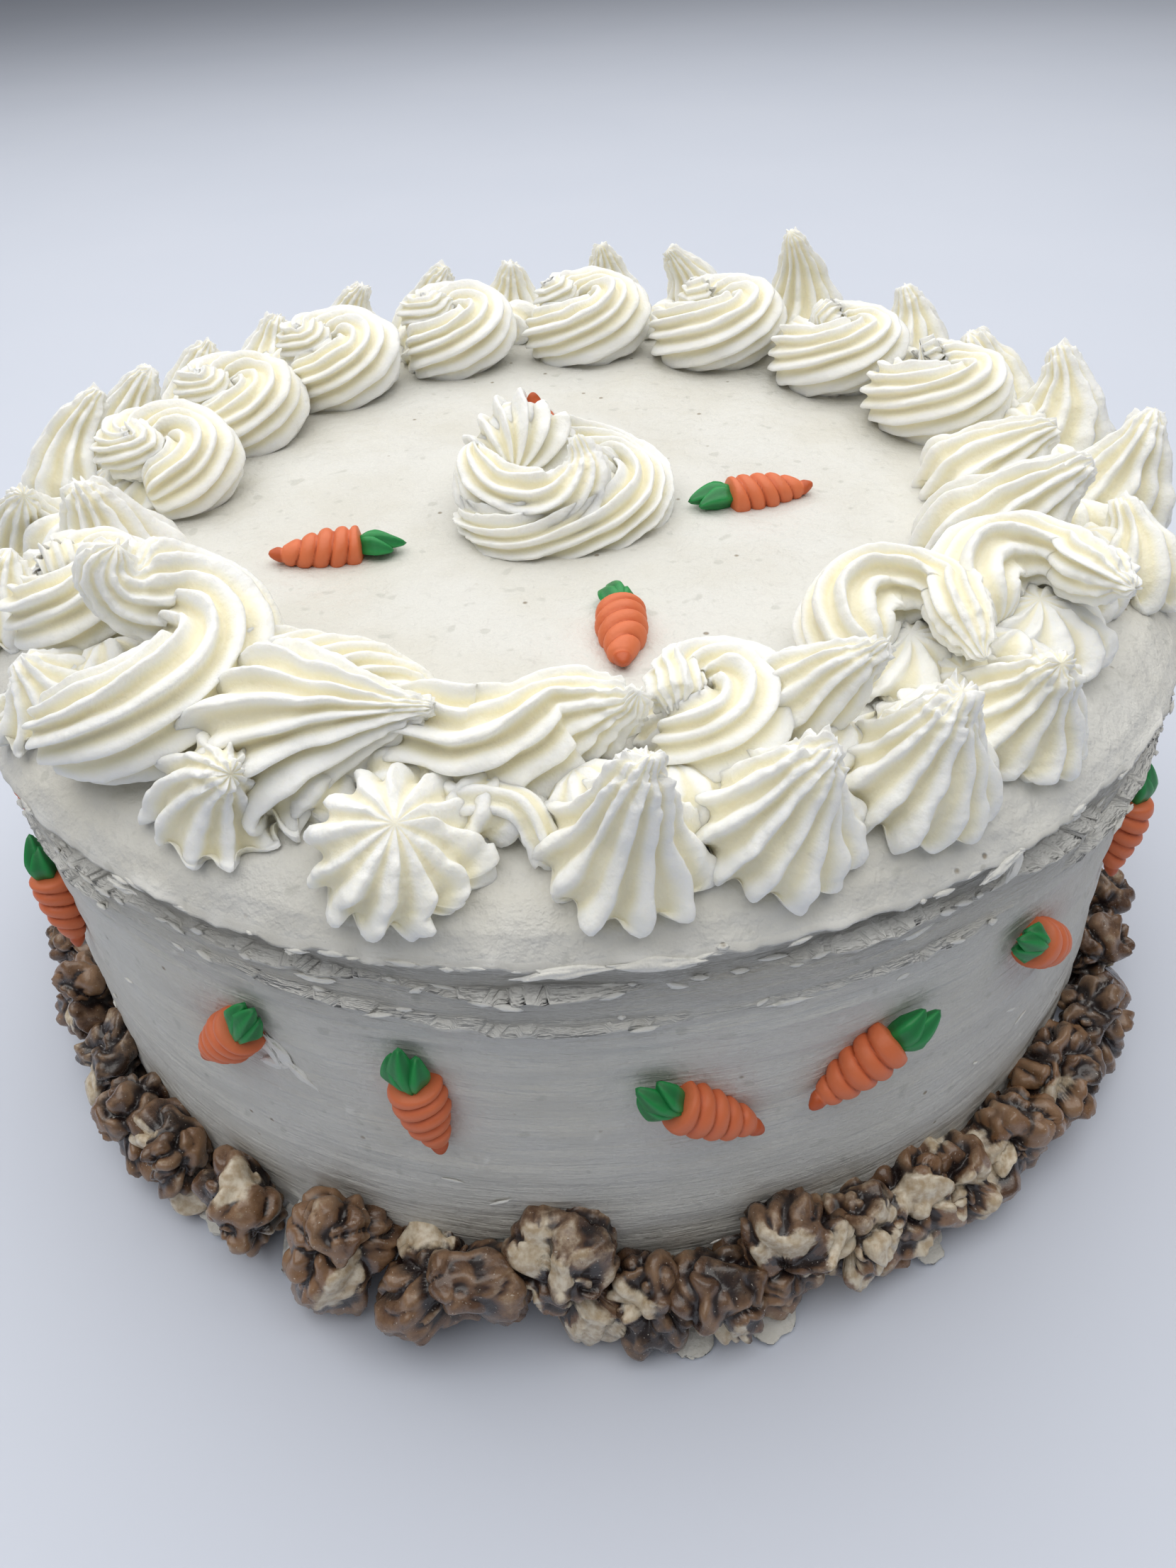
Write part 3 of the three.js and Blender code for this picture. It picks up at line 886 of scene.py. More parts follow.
# ---- piped frosting ----------------------------------------------------------------------------------

FIN_WIDTH = 0.27  # half-width of a fin as a share of the way to the next
FIN_SHARPNESS = 2.6
TORN_FROM, TORN_OVER = 0.68, 0.32  # shares of a rope's length: where its torn end starts, and how long that is


@dataclass
class Rope:
    """Frosting squeezed through a toothed nozzle along a path, ending in a torn tip."""

    knots: list[Knot]  # x, y, z and half-width, mm
    teeth: int = 9
    depth: float = 0.40
    twist: float = 0.0  # how far the fins wind about the rope, radians
    hook: float = 0.10  # how far the crests curl over, radians
    ragged: float = 0.7  # torn edge at the tip, mm
    wobble: float = 0.5  # unevenness of the rope, mm
    seed: int = 0
    tooth_steps: int = 12
    along_steps: int = 60
    blunt: float = 0.05  # share of the length that rounds off the start

    def frames(self, line: Array) -> tuple[Array, Array, Array]:
        """Directions along and across the rope at each ring, carried along without turning.

        Args:
            line: middle of each ring.

        Returns:
            The unit direction ahead and the two across, at each ring.
        """
        ahead = directions(np.gradient(line, axis=0))
        guide = np.array([0.0, 0.0, 1.0]) if abs(ahead[0, 2]) < 0.8 else np.array([0.0, -1.0, 0.0])
        first = [guide - ahead[0] * (guide @ ahead[0])]
        for step in ahead[1:]:
            carried = first[-1] - step * (first[-1] @ step)
            first.append(carried / np.linalg.norm(carried))
        across = np.array(first)
        across[0] /= np.linalg.norm(across[0])
        return ahead, across, np.cross(ahead, across)

    def fins(self, phi: Array, along: Array) -> tuple[Array, Array]:
        """The nozzle's thin fins round the rope.

        Args:
            phi: angle round the rope.
            along: share of the length.

        Returns:
            Crest height from nought in a groove to about one, and the angle that the fins drift by.
        """
        rng = np.random.default_rng(self.seed)
        heights = rng.uniform(0.66, 1.08, self.teeth)
        ring = np.stack([np.cos(phi), np.sin(phi), along * 2.4 + self.seed], axis=1)
        slow, quick = ripple(ring * 1.5, self.seed + 5), ripple(ring * 4.0, self.seed + 7)
        drift = (1.7 * slow + 0.6 * quick) / self.teeth
        tooth = np.rint(phi / TAU * self.teeth).astype(int) % self.teeth
        offset = phi / TAU * self.teeth - np.rint(phi / TAU * self.teeth)
        crest = np.exp(-(np.abs(offset / FIN_WIDTH) ** FIN_SHARPNESS))
        swell = 1.0 + 0.45 * ripple(np.stack([tooth * 3.7, along * 6.0, along * 0], axis=1), self.seed + 6)
        return crest * heights[tooth] * swell, drift

    def rule(self, turn: Array, along: Array) -> Shape:
        """Shape of the rope.

        Args:
            turn: share of the way round.
            along: share of the length.

        Returns:
            Places in millimetres, and the mark "ridge": one on a crest, nought in a groove.
        """
        curve = even_curve(np.array(self.knots), self.along_steps + 1)
        ahead, first, second = self.frames(curve[:, :3])
        k = np.rint(along * self.along_steps).astype(int)
        phi = turn * TAU
        crest, drift = self.fins(phi, along)
        start = unit(along / self.blunt)
        girth = np.sqrt(unit(1.0 - (1.0 - start) ** 2))
        end = unit((1.0 - along) / 0.015)
        tip = unit((along - TORN_FROM) / TORN_OVER)
        stride = np.linalg.norm(curve[1, :3] - curve[0, :3])
        slope = np.clip(np.gradient(curve[:, 3], stride), -2.5, 2.5)
        lean = np.arctan(-slope)[k] * (1.0 - unit(1.0 - along / 0.12))
        spread = curve[k, 3] * girth * end
        angle = phi + self.twist * along + drift + self.hook * unit(crest) ** 2
        across = np.cos(angle)[:, None] * first[k] + np.sin(angle)[:, None] * second[k]
        outward = np.cos(lean)[:, None] * across + np.sin(lean)[:, None] * ahead[k]
        widest = float(curve[:, 3].max())
        sink = self.depth * spread**0.8 * widest**0.2 * (1.0 - 0.45 * tip)
        places = curve[k, :3] + across * spread[:, None] - outward * (sink * (1.0 - crest))[:, None]
        size = unit(spread / 4.0)
        bump = self.wobble * ripple(places / 6.0, self.seed + 1) * size
        edge = (0.26 + 0.5 * self.ragged * tip) * ripple(places / 1.5, self.seed + 2) * unit(crest) * size
        shreds = ripple(places / 2.1, self.seed + 3) + 0.6 * ripple(places / 1.0, self.seed + 4)
        tear = self.ragged * tip**1.5 * end * shreds
        places = places + outward * (bump + edge + tear)[:, None]
        places = places + ahead[k] * (1.4 * tear * unit(crest))[:, None]
        return places, {"ridge": unit(crest) + 0.25 * tip}

    def skin(self) -> Skin:
        """The rope's closed skin."""
        return wrapped_surface(self.teeth * self.tooth_steps, self.along_steps, self.rule)


class Peak(Enum):
    """How a pulled star's width falls from foot to tip: share of the height, share of the radius."""

    CONE = ((0.0, 1.0), (0.12, 1.0), (0.28, 0.90), (0.5, 0.66), (0.72, 0.43), (0.9, 0.27), (1.0, 0.09))
    SLENDER = (
        (0.0, 1.0), (0.09, 1.0), (0.2, 0.88), (0.36, 0.66), (0.56, 0.50), (0.78, 0.36), (0.93, 0.22), (1.0, 0.08),
    )
    BULB = ((0.0, 1.0), (0.15, 1.0), (0.32, 0.92), (0.5, 0.74), (0.7, 0.46), (0.87, 0.22), (1.0, 0.05))
    DOME = ((0.0, 1.0), (0.25, 1.04), (0.5, 0.96), (0.75, 0.74), (0.93, 0.40), (1.0, 0.10))


@dataclass
class PulledStar:
    """A star squeezed straight down on the cake, then drawn off to a torn tip."""

    foot: tuple[float, float]
    tip: Point  # the last is height over the flat top, mm
    radius: float
    peak: Peak = Peak.CONE
    teeth: int = 10
    twist: float = 0.35
    depth: float = 0.29
    ragged: float = 1.2
    bend: float = 1.5  # how late the star leans towards its tip
    seed: int = 0
    fine: float = 1.0

    def rope(self) -> Rope:
        """The rope that this star is.

        Returns:
            A short rope that stands on the cake, leaning towards its tip.
        """
        reach = math.hypot(*self.foot)
        base = np.array([*self.foot, float(shoulder_height(reach))])
        out = base * np.array([1.0, 1.0, 0.0]) / max(reach, 1e-6)
        normal = np.array([0.0, 0.0, 1.0]) + float(np.clip((reach - 98.0) / 28.0, 0, 0.45)) * out
        normal /= np.linalg.norm(normal)
        tip = np.array([self.tip[0], self.tip[1], TOP_Z + self.tip[2]])
        height = float((tip - base) @ normal)
        sunk = 2.5 + 0.6 * max(0.0, self.radius - 12.0)
        knots = [
            (*(base - depth * sunk * normal), width * self.radius) for depth, width in ((1.0, 0.66), (0.4, 0.90))
        ]
        for share, width in self.peak.value:
            mix = share**self.bend
            place = (base + normal * height * share) * (1 - mix) + (base + (tip - base) * share) * mix
            knots.append((*place, width * self.radius))
        steps = int((30 + 1.3 * np.linalg.norm(tip - base)) * self.fine)
        return Rope(
            knots, self.teeth, self.depth, self.twist, ragged=self.ragged, wobble=1.1, seed=self.seed,
            along_steps=steps, blunt=0.02,
        )


@dataclass
class Rosette:
    """A rosette: a rope of frosting wound round once and drawn off over its own middle."""

    centre: tuple[float, float]
    radius: float
    height: float
    start: float  # where the winding starts, degrees from +X seen from above
    turns: float = 1.1
    clockwise: bool = False
    pull: tuple[float, float] = (0.0, 0.0)  # how far the tip lies from the centre, mm
    teeth: int = 13
    climb: float = 2.6  # how far the fins climb round the rope, radians
    girth: float = 0.56  # rope's half-width as a share of the radius
    gather: float = 0.82  # how far the winding closes on its middle
    seed: int = 0
    fine: float = 1.0

    def rope(self) -> Rope:
        """The rope that this rosette is.

        Returns:
            A wound rope with a drawn-off tip.
        """
        middle = np.array([*self.centre, TOP_Z])
        half = self.girth * self.radius
        orbit = self.radius - half
        sign = -1.0 if self.clockwise else 1.0
        knots = []
        count = 9
        for k in range(count):
            share = k / (count - 1)
            angle = math.radians(self.start) + sign * TAU * self.turns * share
            reach = orbit * (1.12 - self.gather * share**1.8)
            place = middle + reach * np.array([math.cos(angle), math.sin(angle), 0.0])
            place[2] += half * (0.55 + 0.85 * share**0.9)
            swell = 0.3 * math.sin(math.pi * min(share * 1.3, 1.0))
            knots.append((*place, half * (0.82 + swell - 0.22 * share)))
        tip = middle + np.array([*self.pull, self.height])
        crown = np.array(knots[-1][:3])
        for share, width in ((0.45, 0.55), (0.75, 0.3), (1.0, 0.06)):
            knots.append((*(crown * (1 - share) + tip * share), half * width))
        steps = int(86 * self.fine)
        return Rope(
            knots, self.teeth, depth=0.29, twist=-self.climb * sign, ragged=1.0, wobble=0.9, seed=self.seed,
            along_steps=steps, blunt=0.06,
        )


@dataclass
class PipedBorder:
    """The two rows of piped frosting round the rim."""

    star_ring: float = 106.5  # radius of the far stars' feet, mm
    front_fine: float = 1.4  # fineness of the pieces in front
    back_steps: int = 9  # steps across a fin at the back
    bed_ring: float = 97.0
    bed_step: float = 7.5  # degrees from mound to mound
    bed_seed: int = 44
    front_stars: dict[int, PulledStar] = field(
        default_factory=lambda: {
            1: PulledStar((-51.5, -92.0), (-47.8, -99.5, 9.5), 12.8, Peak.CONE, 11, 0.2, 0.25, 1.8),
            2: PulledStar((-25.8, -105.0), (-25.0, -109.0, 7.5), 13.2, Peak.DOME, 12, 0.55, 0.27, 0.7),
            3: PulledStar((5.3, -107.0), (8.2, -112.0, 19), 13.2, Peak.SLENDER, 11, 0.45, 0.24, 2.0),
            4: PulledStar((26.0, -104.0), (32.4, -107.0, 15.5), 12.8, Peak.CONE, 12, 0.75, 0.23, 1.6),
            5: PulledStar((47.0, -95.5), (50.5, -98.5, 16.5), 12.8, Peak.CONE, 12, 0.75, 0.23, 2.0),
            6: PulledStar((65.0, -83.5), (67.5, -89.0, 13.5), 12.3, Peak.CONE, 12, 0.7, 0.23, 1.7),
        }
    )
    stars: tuple[Row, ...] = (  # azimuth, radius; the tip's ring, azimuth and height
        (68, 12.0, 103, 72, 9.0), (83, 12.5, 112, 85, 16.0), (100, 12.5, 107, 103, 16.5),
        (114, 12.0, 104, 117, 12.0), (128, 12.5, 108, 130, 16.0), (145, 13.0, 102, 146, 25.5),
        (160, 12.0, 102, 164, 19.0), (173, 12.5, 104, 174, 19.5), (187, 12.0, 104, 187, 16.0),
        (199, 12.0, 105, 196, 16.5), (211, 12.0, 103, 209, 16.0), (223, 12.0, 108, 221, 12.5),
        (235, 12.0, 105, 233, 13.0), (247, 12.0, 102, 245, 14.5), (260, 12.5, 101, 256, 17.0),
        (274, 12.0, 104, 278, 12.0), (289, 12.5, 105, 288, 10.5), (306, 13.0, 110, 305, 6.5),
    )
    front_swirls: dict[int, Rope | Rosette | PulledStar] = field(
        default_factory=lambda: {
            1: Rope(
                over_top(
                    (-81.0, -77.0, 2.5, 6.0), (-72.5, -81.5, 5.0, 8.8), (-62.5, -80.5, 6.5, 10.4),
                    (-55.5, -73.5, 7.5, 10.8), (-55.5, -64.5, 9.5, 10.4), (-62.0, -58.5, 13.0, 9.4),
                    (-69.0, -60.0, 17.5, 8.0), (-71.0, -61.5, 21.5, 5.6), (-69.0, -61.5, 25.0, 2.0),
                ),
                teeth=13, depth=0.28, twist=-2.2, ragged=1.0, wobble=0.8, along_steps=130, blunt=0.04,
            ),
            2: PulledStar((-43.0, -84.0), (-20.3, -92.9, 14.0), 17.0, Peak.BULB, 16, 0.25, 0.24, 1.3, 1.0),
            3: Rope(
                over_top(
                    (-27.0, -84.5, 1.5, 6.5), (-22.5, -88.0, 5.0, 9.0), (-15.5, -91.0, 4.0, 10.2),
                    (-8.5, -90.5, 5.0, 9.8), (-1.5, -88.0, 7.2, 8.4), (3.5, -89.3, 9.2, 5.8),
                    (7.0, -91.5, 12.0, 3.0), (8.2, -92.8, 15.0, 1.0),
                ),
                teeth=13, depth=0.26, twist=-1.1, ragged=1.4, wobble=1.4, along_steps=110, blunt=0.10,
            ),
            4: Rosette(
                (17.5, -86.0), 13.8, 9.0, 215, 0.92, pull=(-4.0, -5.0), teeth=12, climb=1.6, gather=0.5
            ),
            5: Rope(
                over_top(
                    (28.0, -80.0, 3.0, 6.5), (30.0, -85.0, 6.0, 8.2), (34.0, -87.8, 10.5, 7.0),
                    (38.5, -90.0, 16.0, 4.0), (41.8, -92.0, 20.5, 0.8),
                ),
                teeth=11, depth=0.26, twist=-0.6, ragged=2.0, wobble=1.0, along_steps=80, blunt=0.12,
            ),
            6: Rosette((51.5, -67.0), 16.5, 10, 230, 0.70, True, (8.0, -15.0), 11, 0.9, 0.52, gather=0.25),
            7: Rosette((73.5, -59.5), 17.0, 15, 225, 0.66, True, (10.5, -13.5), 11, 0.9, 0.52, gather=0.25),
            8: PulledStar((76.0, -35.0), (90.5, -35.0, 18.0), 15.5, Peak.CONE, 13, 0.3, 0.28, 1.2, 0.9),
            9: PulledStar((82.0, -8.0), (94.0, -9.0, 13.0), 14.5, Peak.CONE, 13, 0.3, 0.28, 1.2, 0.9),
            18: PulledStar((-88.0, -19.0), (-90.6, -19.2, 16.5), 14.5, Peak.SLENDER, 12, 0.5, 0.29, 1.3),
            19: Rosette((-84.0, -43.5), 15.5, 12, 170, 1.1, pull=(-4.0, 3.0)),
        }
    )
    swirls: tuple[Row, ...] = (  # azimuth, radius, height, lean in, lean along, ring
        (108, 17.2, 13, -3, 4, 86), (130, 17.4, 14, -4, 3, 85.5), (153, 18.2, 13, -3, 3, 85.5),
        (177, 18.2, 14, -4, 3, 85.5), (200, 17.8, 13, -3, -3, 85.5), (222, 17.8, 14, -4, -3, 85.5),
        (243, 17.2, 13, -3, -3, 85.5), (264, 17.2, 14, -4, -3, 85.5),
    )
    cores: dict[str, tuple[tuple[float, float], float, float]] = field(  # centre, radius, height of the fill
        default_factory=lambda: {
            "inner_swirl_01": ((-66.0, -68.0), 13.0, 4.5),
            "inner_swirl_04": ((17.0, -84.5), 10.0, 6.0),
            "inner_swirl_06": ((52.0, -69.0), 12.5, 7.0),
            "inner_swirl_07": ((74.5, -62.0), 13.0, 7.5),
            "inner_swirl_19": ((-84.5, -44.0), 10.0, 4.0),
        }
    )

    def pieces(self) -> dict[str, Rope]:
        """Every piped piece of the border.

        Returns:
            The rope for each CAD node.
        """
        ropes: dict[str, Rope] = {}
        for number, star in self.front_stars.items():
            star.seed = 107 + 7 * number
            star.fine = self.front_fine
            ropes[f"outer_star_{number:02d}"] = star.rope()
        for k, (azimuth, radius, tip_ring, tip_azimuth, height) in enumerate(self.stars):
            foot, tip = around(self.star_ring, azimuth), around(tip_ring, tip_azimuth)
            place, peak = (foot[0], foot[1]), (tip[0], tip[1], height)
            star = PulledStar(place, peak, radius, seed=160 + 7 * k, teeth=11 + k % 2)
            ropes[f"outer_star_{k + 7:02d}"] = replace(star.rope(), tooth_steps=self.back_steps)
        for number, shape in self.front_swirls.items():
            shape.seed = 307 + 7 * number
            if not isinstance(shape, Rope):
                shape.fine = self.front_fine
            ropes[f"inner_swirl_{number:02d}"] = shape if isinstance(shape, Rope) else shape.rope()
        for k, (azimuth, radius, height, lean_in, lean_along, ring) in enumerate(self.swirls):
            centre = around(ring, azimuth)
            pull = around(-lean_in, azimuth) + around(lean_along, azimuth + 90.0)
            start = azimuth - 90.0 + 100.0 + 12.0 * math.sin(5.0 * k)
            rosette = Rosette(
                (centre[0], centre[1]), radius, height, start, turns=1.0, pull=(pull[0], pull[1]), climb=3.0,
                girth=0.48, gather=0.55, seed=400 + 7 * k,
            )
            ropes[f"inner_swirl_{k + 10:02d}"] = replace(rosette.rope(), tooth_steps=self.back_steps)
            self.cores[f"inner_swirl_{k + 10:02d}"] = ((centre[0], centre[1]), 0.7 * radius, 7.0)
        return ropes

    def comb(self) -> Rope:
        """The far edge of the second front swirl, whose fins stand up side by side like a comb."""
        knots = over_top(
            (-61.0, -75.5, 2.6, 5.0), (-56.5, -72.5, 4.8, 7.0), (-48.5, -71.5, 5.8, 7.9),
            (-39.5, -72.0, 5.8, 7.9), (-31.0, -74.8, 5.2, 7.2), (-25.0, -79.0, 4.4, 5.2),
            (-22.0, -83.5, 4.6, 2.4),
        )
        return Rope(
            knots, teeth=11, depth=0.30, twist=-5.2, ragged=0.6, wobble=0.8, seed=94, along_steps=110, blunt=0.06
        )

    def ribbon(self) -> Rope:
        """The thin ruffled tail that arches off the third front swirl on to the shoulder."""
        knots = over_top(
            (-22.5, -92.0, 3.0, 3.0), (-18.0, -99.5, 3.2, 3.3), (-12.5, -101.5, 4.2, 3.0),
            (-8.8, -103.0, 3.6, 3.0), (-6.2, -106.0, -0.4, 2.8), (-4.5, -108.5, -3.0, 1.4),
        )
        return Rope(
            knots, teeth=5, depth=0.34, twist=0.6, ragged=0.8, wobble=0.5, seed=88, along_steps=50, blunt=0.1
        )

    def bed(self) -> list[Skin]:
        """Squeezed-out frosting that fills the gaps between the two rows.

        Returns:
            Low ridged mounds round the rim.
        """
        rng = np.random.default_rng(self.bed_seed)
        skins = []
        for azimuth in np.arange(-180.0, 180.0, self.bed_step):
            foot = around(self.bed_ring + 0.5 + rng.uniform(-1.5, 1.5), azimuth)
            tip = around(self.bed_ring, azimuth + rng.uniform(-2, 2))
            mound = PulledStar(
                (foot[0], foot[1]), (tip[0], tip[1], 5.5), radius=8.6, peak=Peak.DOME, teeth=8, twist=0.8,
                depth=0.26, ragged=0.5, seed=int(azimuth) + 200, fine=0.5,
            )
            skins.append(replace(mound.rope(), tooth_steps=8).skin())
        return skins

    def build(self, finish: Material) -> None:
        """Builds and places every piped piece.

        Args:
            finish: the piped frosting.
        """
        for node, rope in self.pieces().items():
            skins = [rope.skin()]
            if node == "inner_swirl_02":
                skins.append(self.comb().skin())
            if node == "inner_swirl_03":
                skins.append(self.ribbon().skin())
            if node in self.cores:
                (x, y), radius, height = self.cores[node]
                fill = PulledStar(
                    (x, y), (x, y, height), radius, Peak.DOME, teeth=11, twist=0.8, depth=0.20, ragged=0.4, seed=77
                )
                skins.append(fill.rope().skin())
            place_piece(f"piped_{node}", skins, finish, "piping", node)
        place_piece("piped_bed", self.bed(), finish, "piping")


@dataclass
class MiddleSwirl:
    """The swirl in the middle: a coil and a U-shaped nest of rope over two mounds that fill their gaps."""

    def build(self, finish: Material) -> None:
        """Builds and places the swirl.

        Args:
            finish: the piped frosting.
        """
        coil = Rope(
            over_top(
                (-11.0, -9.0, 8.0, 1.5), (-10.8, -6.5, 8.0, 7.0), (-10.3, -2.5, 7.8, 11.4),
                (-9.0, 3.0, 6.6, 13.0), (-4.0, 8.5, 3.6, 10.6), (3.0, 8.5, 2.2, 8.8), (9.5, 3.8, 2.0, 8.4),
                (12.6, -4.5, 2.4, 8.5), (11.0, -13.0, 2.5, 8.4), (5.0, -19.0, 2.4, 7.8),
                (-3.0, -21.5, 2.2, 7.2), (-11.0, -21.5, 2.2, 6.6), (-17.0, -15.5, 2.4, 5.4),
                (-19.5, -9.5, 2.8, 3.5),
            ),
            teeth=15, depth=0.32, twist=-4.2, ragged=0.6, wobble=0.8, seed=531, along_steps=230, blunt=0.01,
        )
        nest = Rope(
            over_top(
                (-18.2, -1.5, 12.5, 2.4), (-17.8, -7.0, 10.0, 5.0), (-14.2, -13.6, 6.8, 7.0),
                (-7.4, -18.2, 5.4, 7.9), (-1.2, -18.4, 6.8, 7.5), (2.4, -15.8, 10.4, 5.8),
                (2.8, -13.2, 14.0, 3.5), (1.4, -11.6, 17.4, 0.8),
            ),
            teeth=13, depth=0.30, twist=-0.5, ragged=1.2, wobble=1.0, seed=521, along_steps=120, blunt=0.10,
        )
        core = PulledStar(
            (4.5, -5.5), (3.2, -8.5, 13.0), 11.5, teeth=12, twist=0.8, depth=0.22, ragged=1.0, seed=541
        ).rope()
        fill = PulledStar(
            (-9.3, 4.5), (-7.4, 5.0, 17.2), 11.0, Peak.DOME, teeth=5, twist=0.3, depth=0.05, ragged=0.3, seed=551
        ).rope()
        skins = [rope.skin() for rope in (coil, nest, core, fill)]
        place_piece("piped_centre_swirl", skins, finish, "piping", "centre_swirl")


# ---- icing carrots -----------------------------------------------------------------------------------


@dataclass
class IcingCarrot:
    """One icing carrot: five fat rolls tapering to a tip, and a ridged leaf tuft."""

    length: float = 26.0
    root: float = 17.9
    girth: float = 4.45
    rolls: int = 5
    seed: int = 0

    def root_rule(self, turn: Array, along: Array) -> Shape:
        """Shape of the root, lying along +X from the crown.

        Args:
            turn: share of the way round.
            along: share of the length.

        Returns:
            Places in millimetres, and the mark "ridge".
        """
        phi = turn * TAU
        slant = 0.34 * np.sin(phi + 0.6 * self.seed)
        body = unit(along / 0.87)
        phase = body * self.rolls + slant * unit(body * 5) * unit((1 - body) * 5)
        part = phase - np.floor(phase)
        roll = np.sqrt(unit(1.0 - (2.0 * part - 1.0) ** 2)) ** 0.95
        # nought in the creases between the rolls, where the icing paints shade
        crease = unit(roll * 1.6 - 0.35)
        order = np.clip(np.floor(phase), 0, self.rolls - 1)
        taper = np.interp(body * self.rolls, np.arange(self.rolls + 1.0), [0.93, 1.0, 0.98, 0.88, 0.68, 0.40])
        lean = 0.5 * np.sin(order * 2.1 + self.seed)
        nub = 0.34 * np.sqrt(unit((1.0 - along) / 0.10)) * unit((along - 0.80) / 0.05)
        ends = np.sqrt(unit(along / 0.045)) * np.where(body < 1.0, 1.0, 0.0)
        plump = taper * (0.66 + 0.34 * roll) * ends * unit((1.02 - body) / 0.06) ** 0.5
        size = self.girth * np.maximum(plump, nub)
        x = self.root * along
        y = size * np.cos(phi) * 1.04 + 0.7 * np.sin(body * 2.4 + self.seed) * body + 0.35 * lean * roll
        z = size * np.sin(phi) * 0.92 + 0.5 * unit((along - 0.85) / 0.15)
        places = np.stack([x, y, z], axis=1)
        outward = np.stack([0 * x, np.cos(phi), np.sin(phi)], axis=1)
        places += 0.14 * ripple(places / 2.6, 60 + self.seed)[:, None] * outward
        return places, {"ridge": crease}

    def leaf_rule(self, lobe: int) -> ShapeRule:
        """Shape of one lobe of the leaf tuft.

        Args:
            lobe: which of the three lobes.

        Returns:
            The rule for its skin.
        """
        spread = (-0.42, 0.0, 0.42)[lobe] + 0.08 * math.sin(self.seed + lobe)
        length = (self.length - self.root + 1.6) * (0.88, 1.0, 0.82)[lobe]

        def rule(turn: Array, along: Array) -> Shape:
            """Shape of the lobe: a fluted blade that runs back from the crown to a point."""
            phi = turn * TAU
            swell = unit(along / 0.3) * np.sqrt(unit((1.0 - along) / 0.45))
            ends = np.sqrt(unit(along / 0.12)) * np.minimum(1.0, np.sqrt(unit((1.0 - along) / 0.5)))
            swell = ends * (0.75 + 0.25 * swell)
            flute = 1.0 - 0.32 * np.abs(np.sin(2.0 * phi + 0.5)) ** 0.7
            half = 2.65 * swell * flute
            back = 1.6 - length * along
            curl = 0.9 * np.sin(along * 2.2 + self.seed) * along
            x = back * math.cos(spread)
            y = np.sin(spread) * (length * along) * (1.0 - 0.45 * along) + half * np.cos(phi) + curl
            z = half * np.sin(phi) * 0.95 + 0.7 * np.sin(np.pi * along) + 0.35 * (lobe == 1)
            # the ridge mark dips in the flutes, where the icing paints shade
            return np.stack([x, y, z], axis=1), {"ridge": flute * 1.5 - 0.75}

        return rule

    def skins(self, matrix: Matrix) -> list[Skin]:
        """The carrot's root and leaf skins, moved into place.

        Args:
            matrix: from the carrot's own frame (crown at x = 0, leaf behind) to the cake's, in metres.

        Returns:
            The root, then the three lobes.
        """
        made = [wrapped_surface(28, 72, self.root_rule)]
        made += [wrapped_surface(20, 16, self.leaf_rule(k)) for k in range(3)]
        for skin in made:
            bmesh.ops.transform(skin, matrix=matrix, verts=skin.verts)
        return made


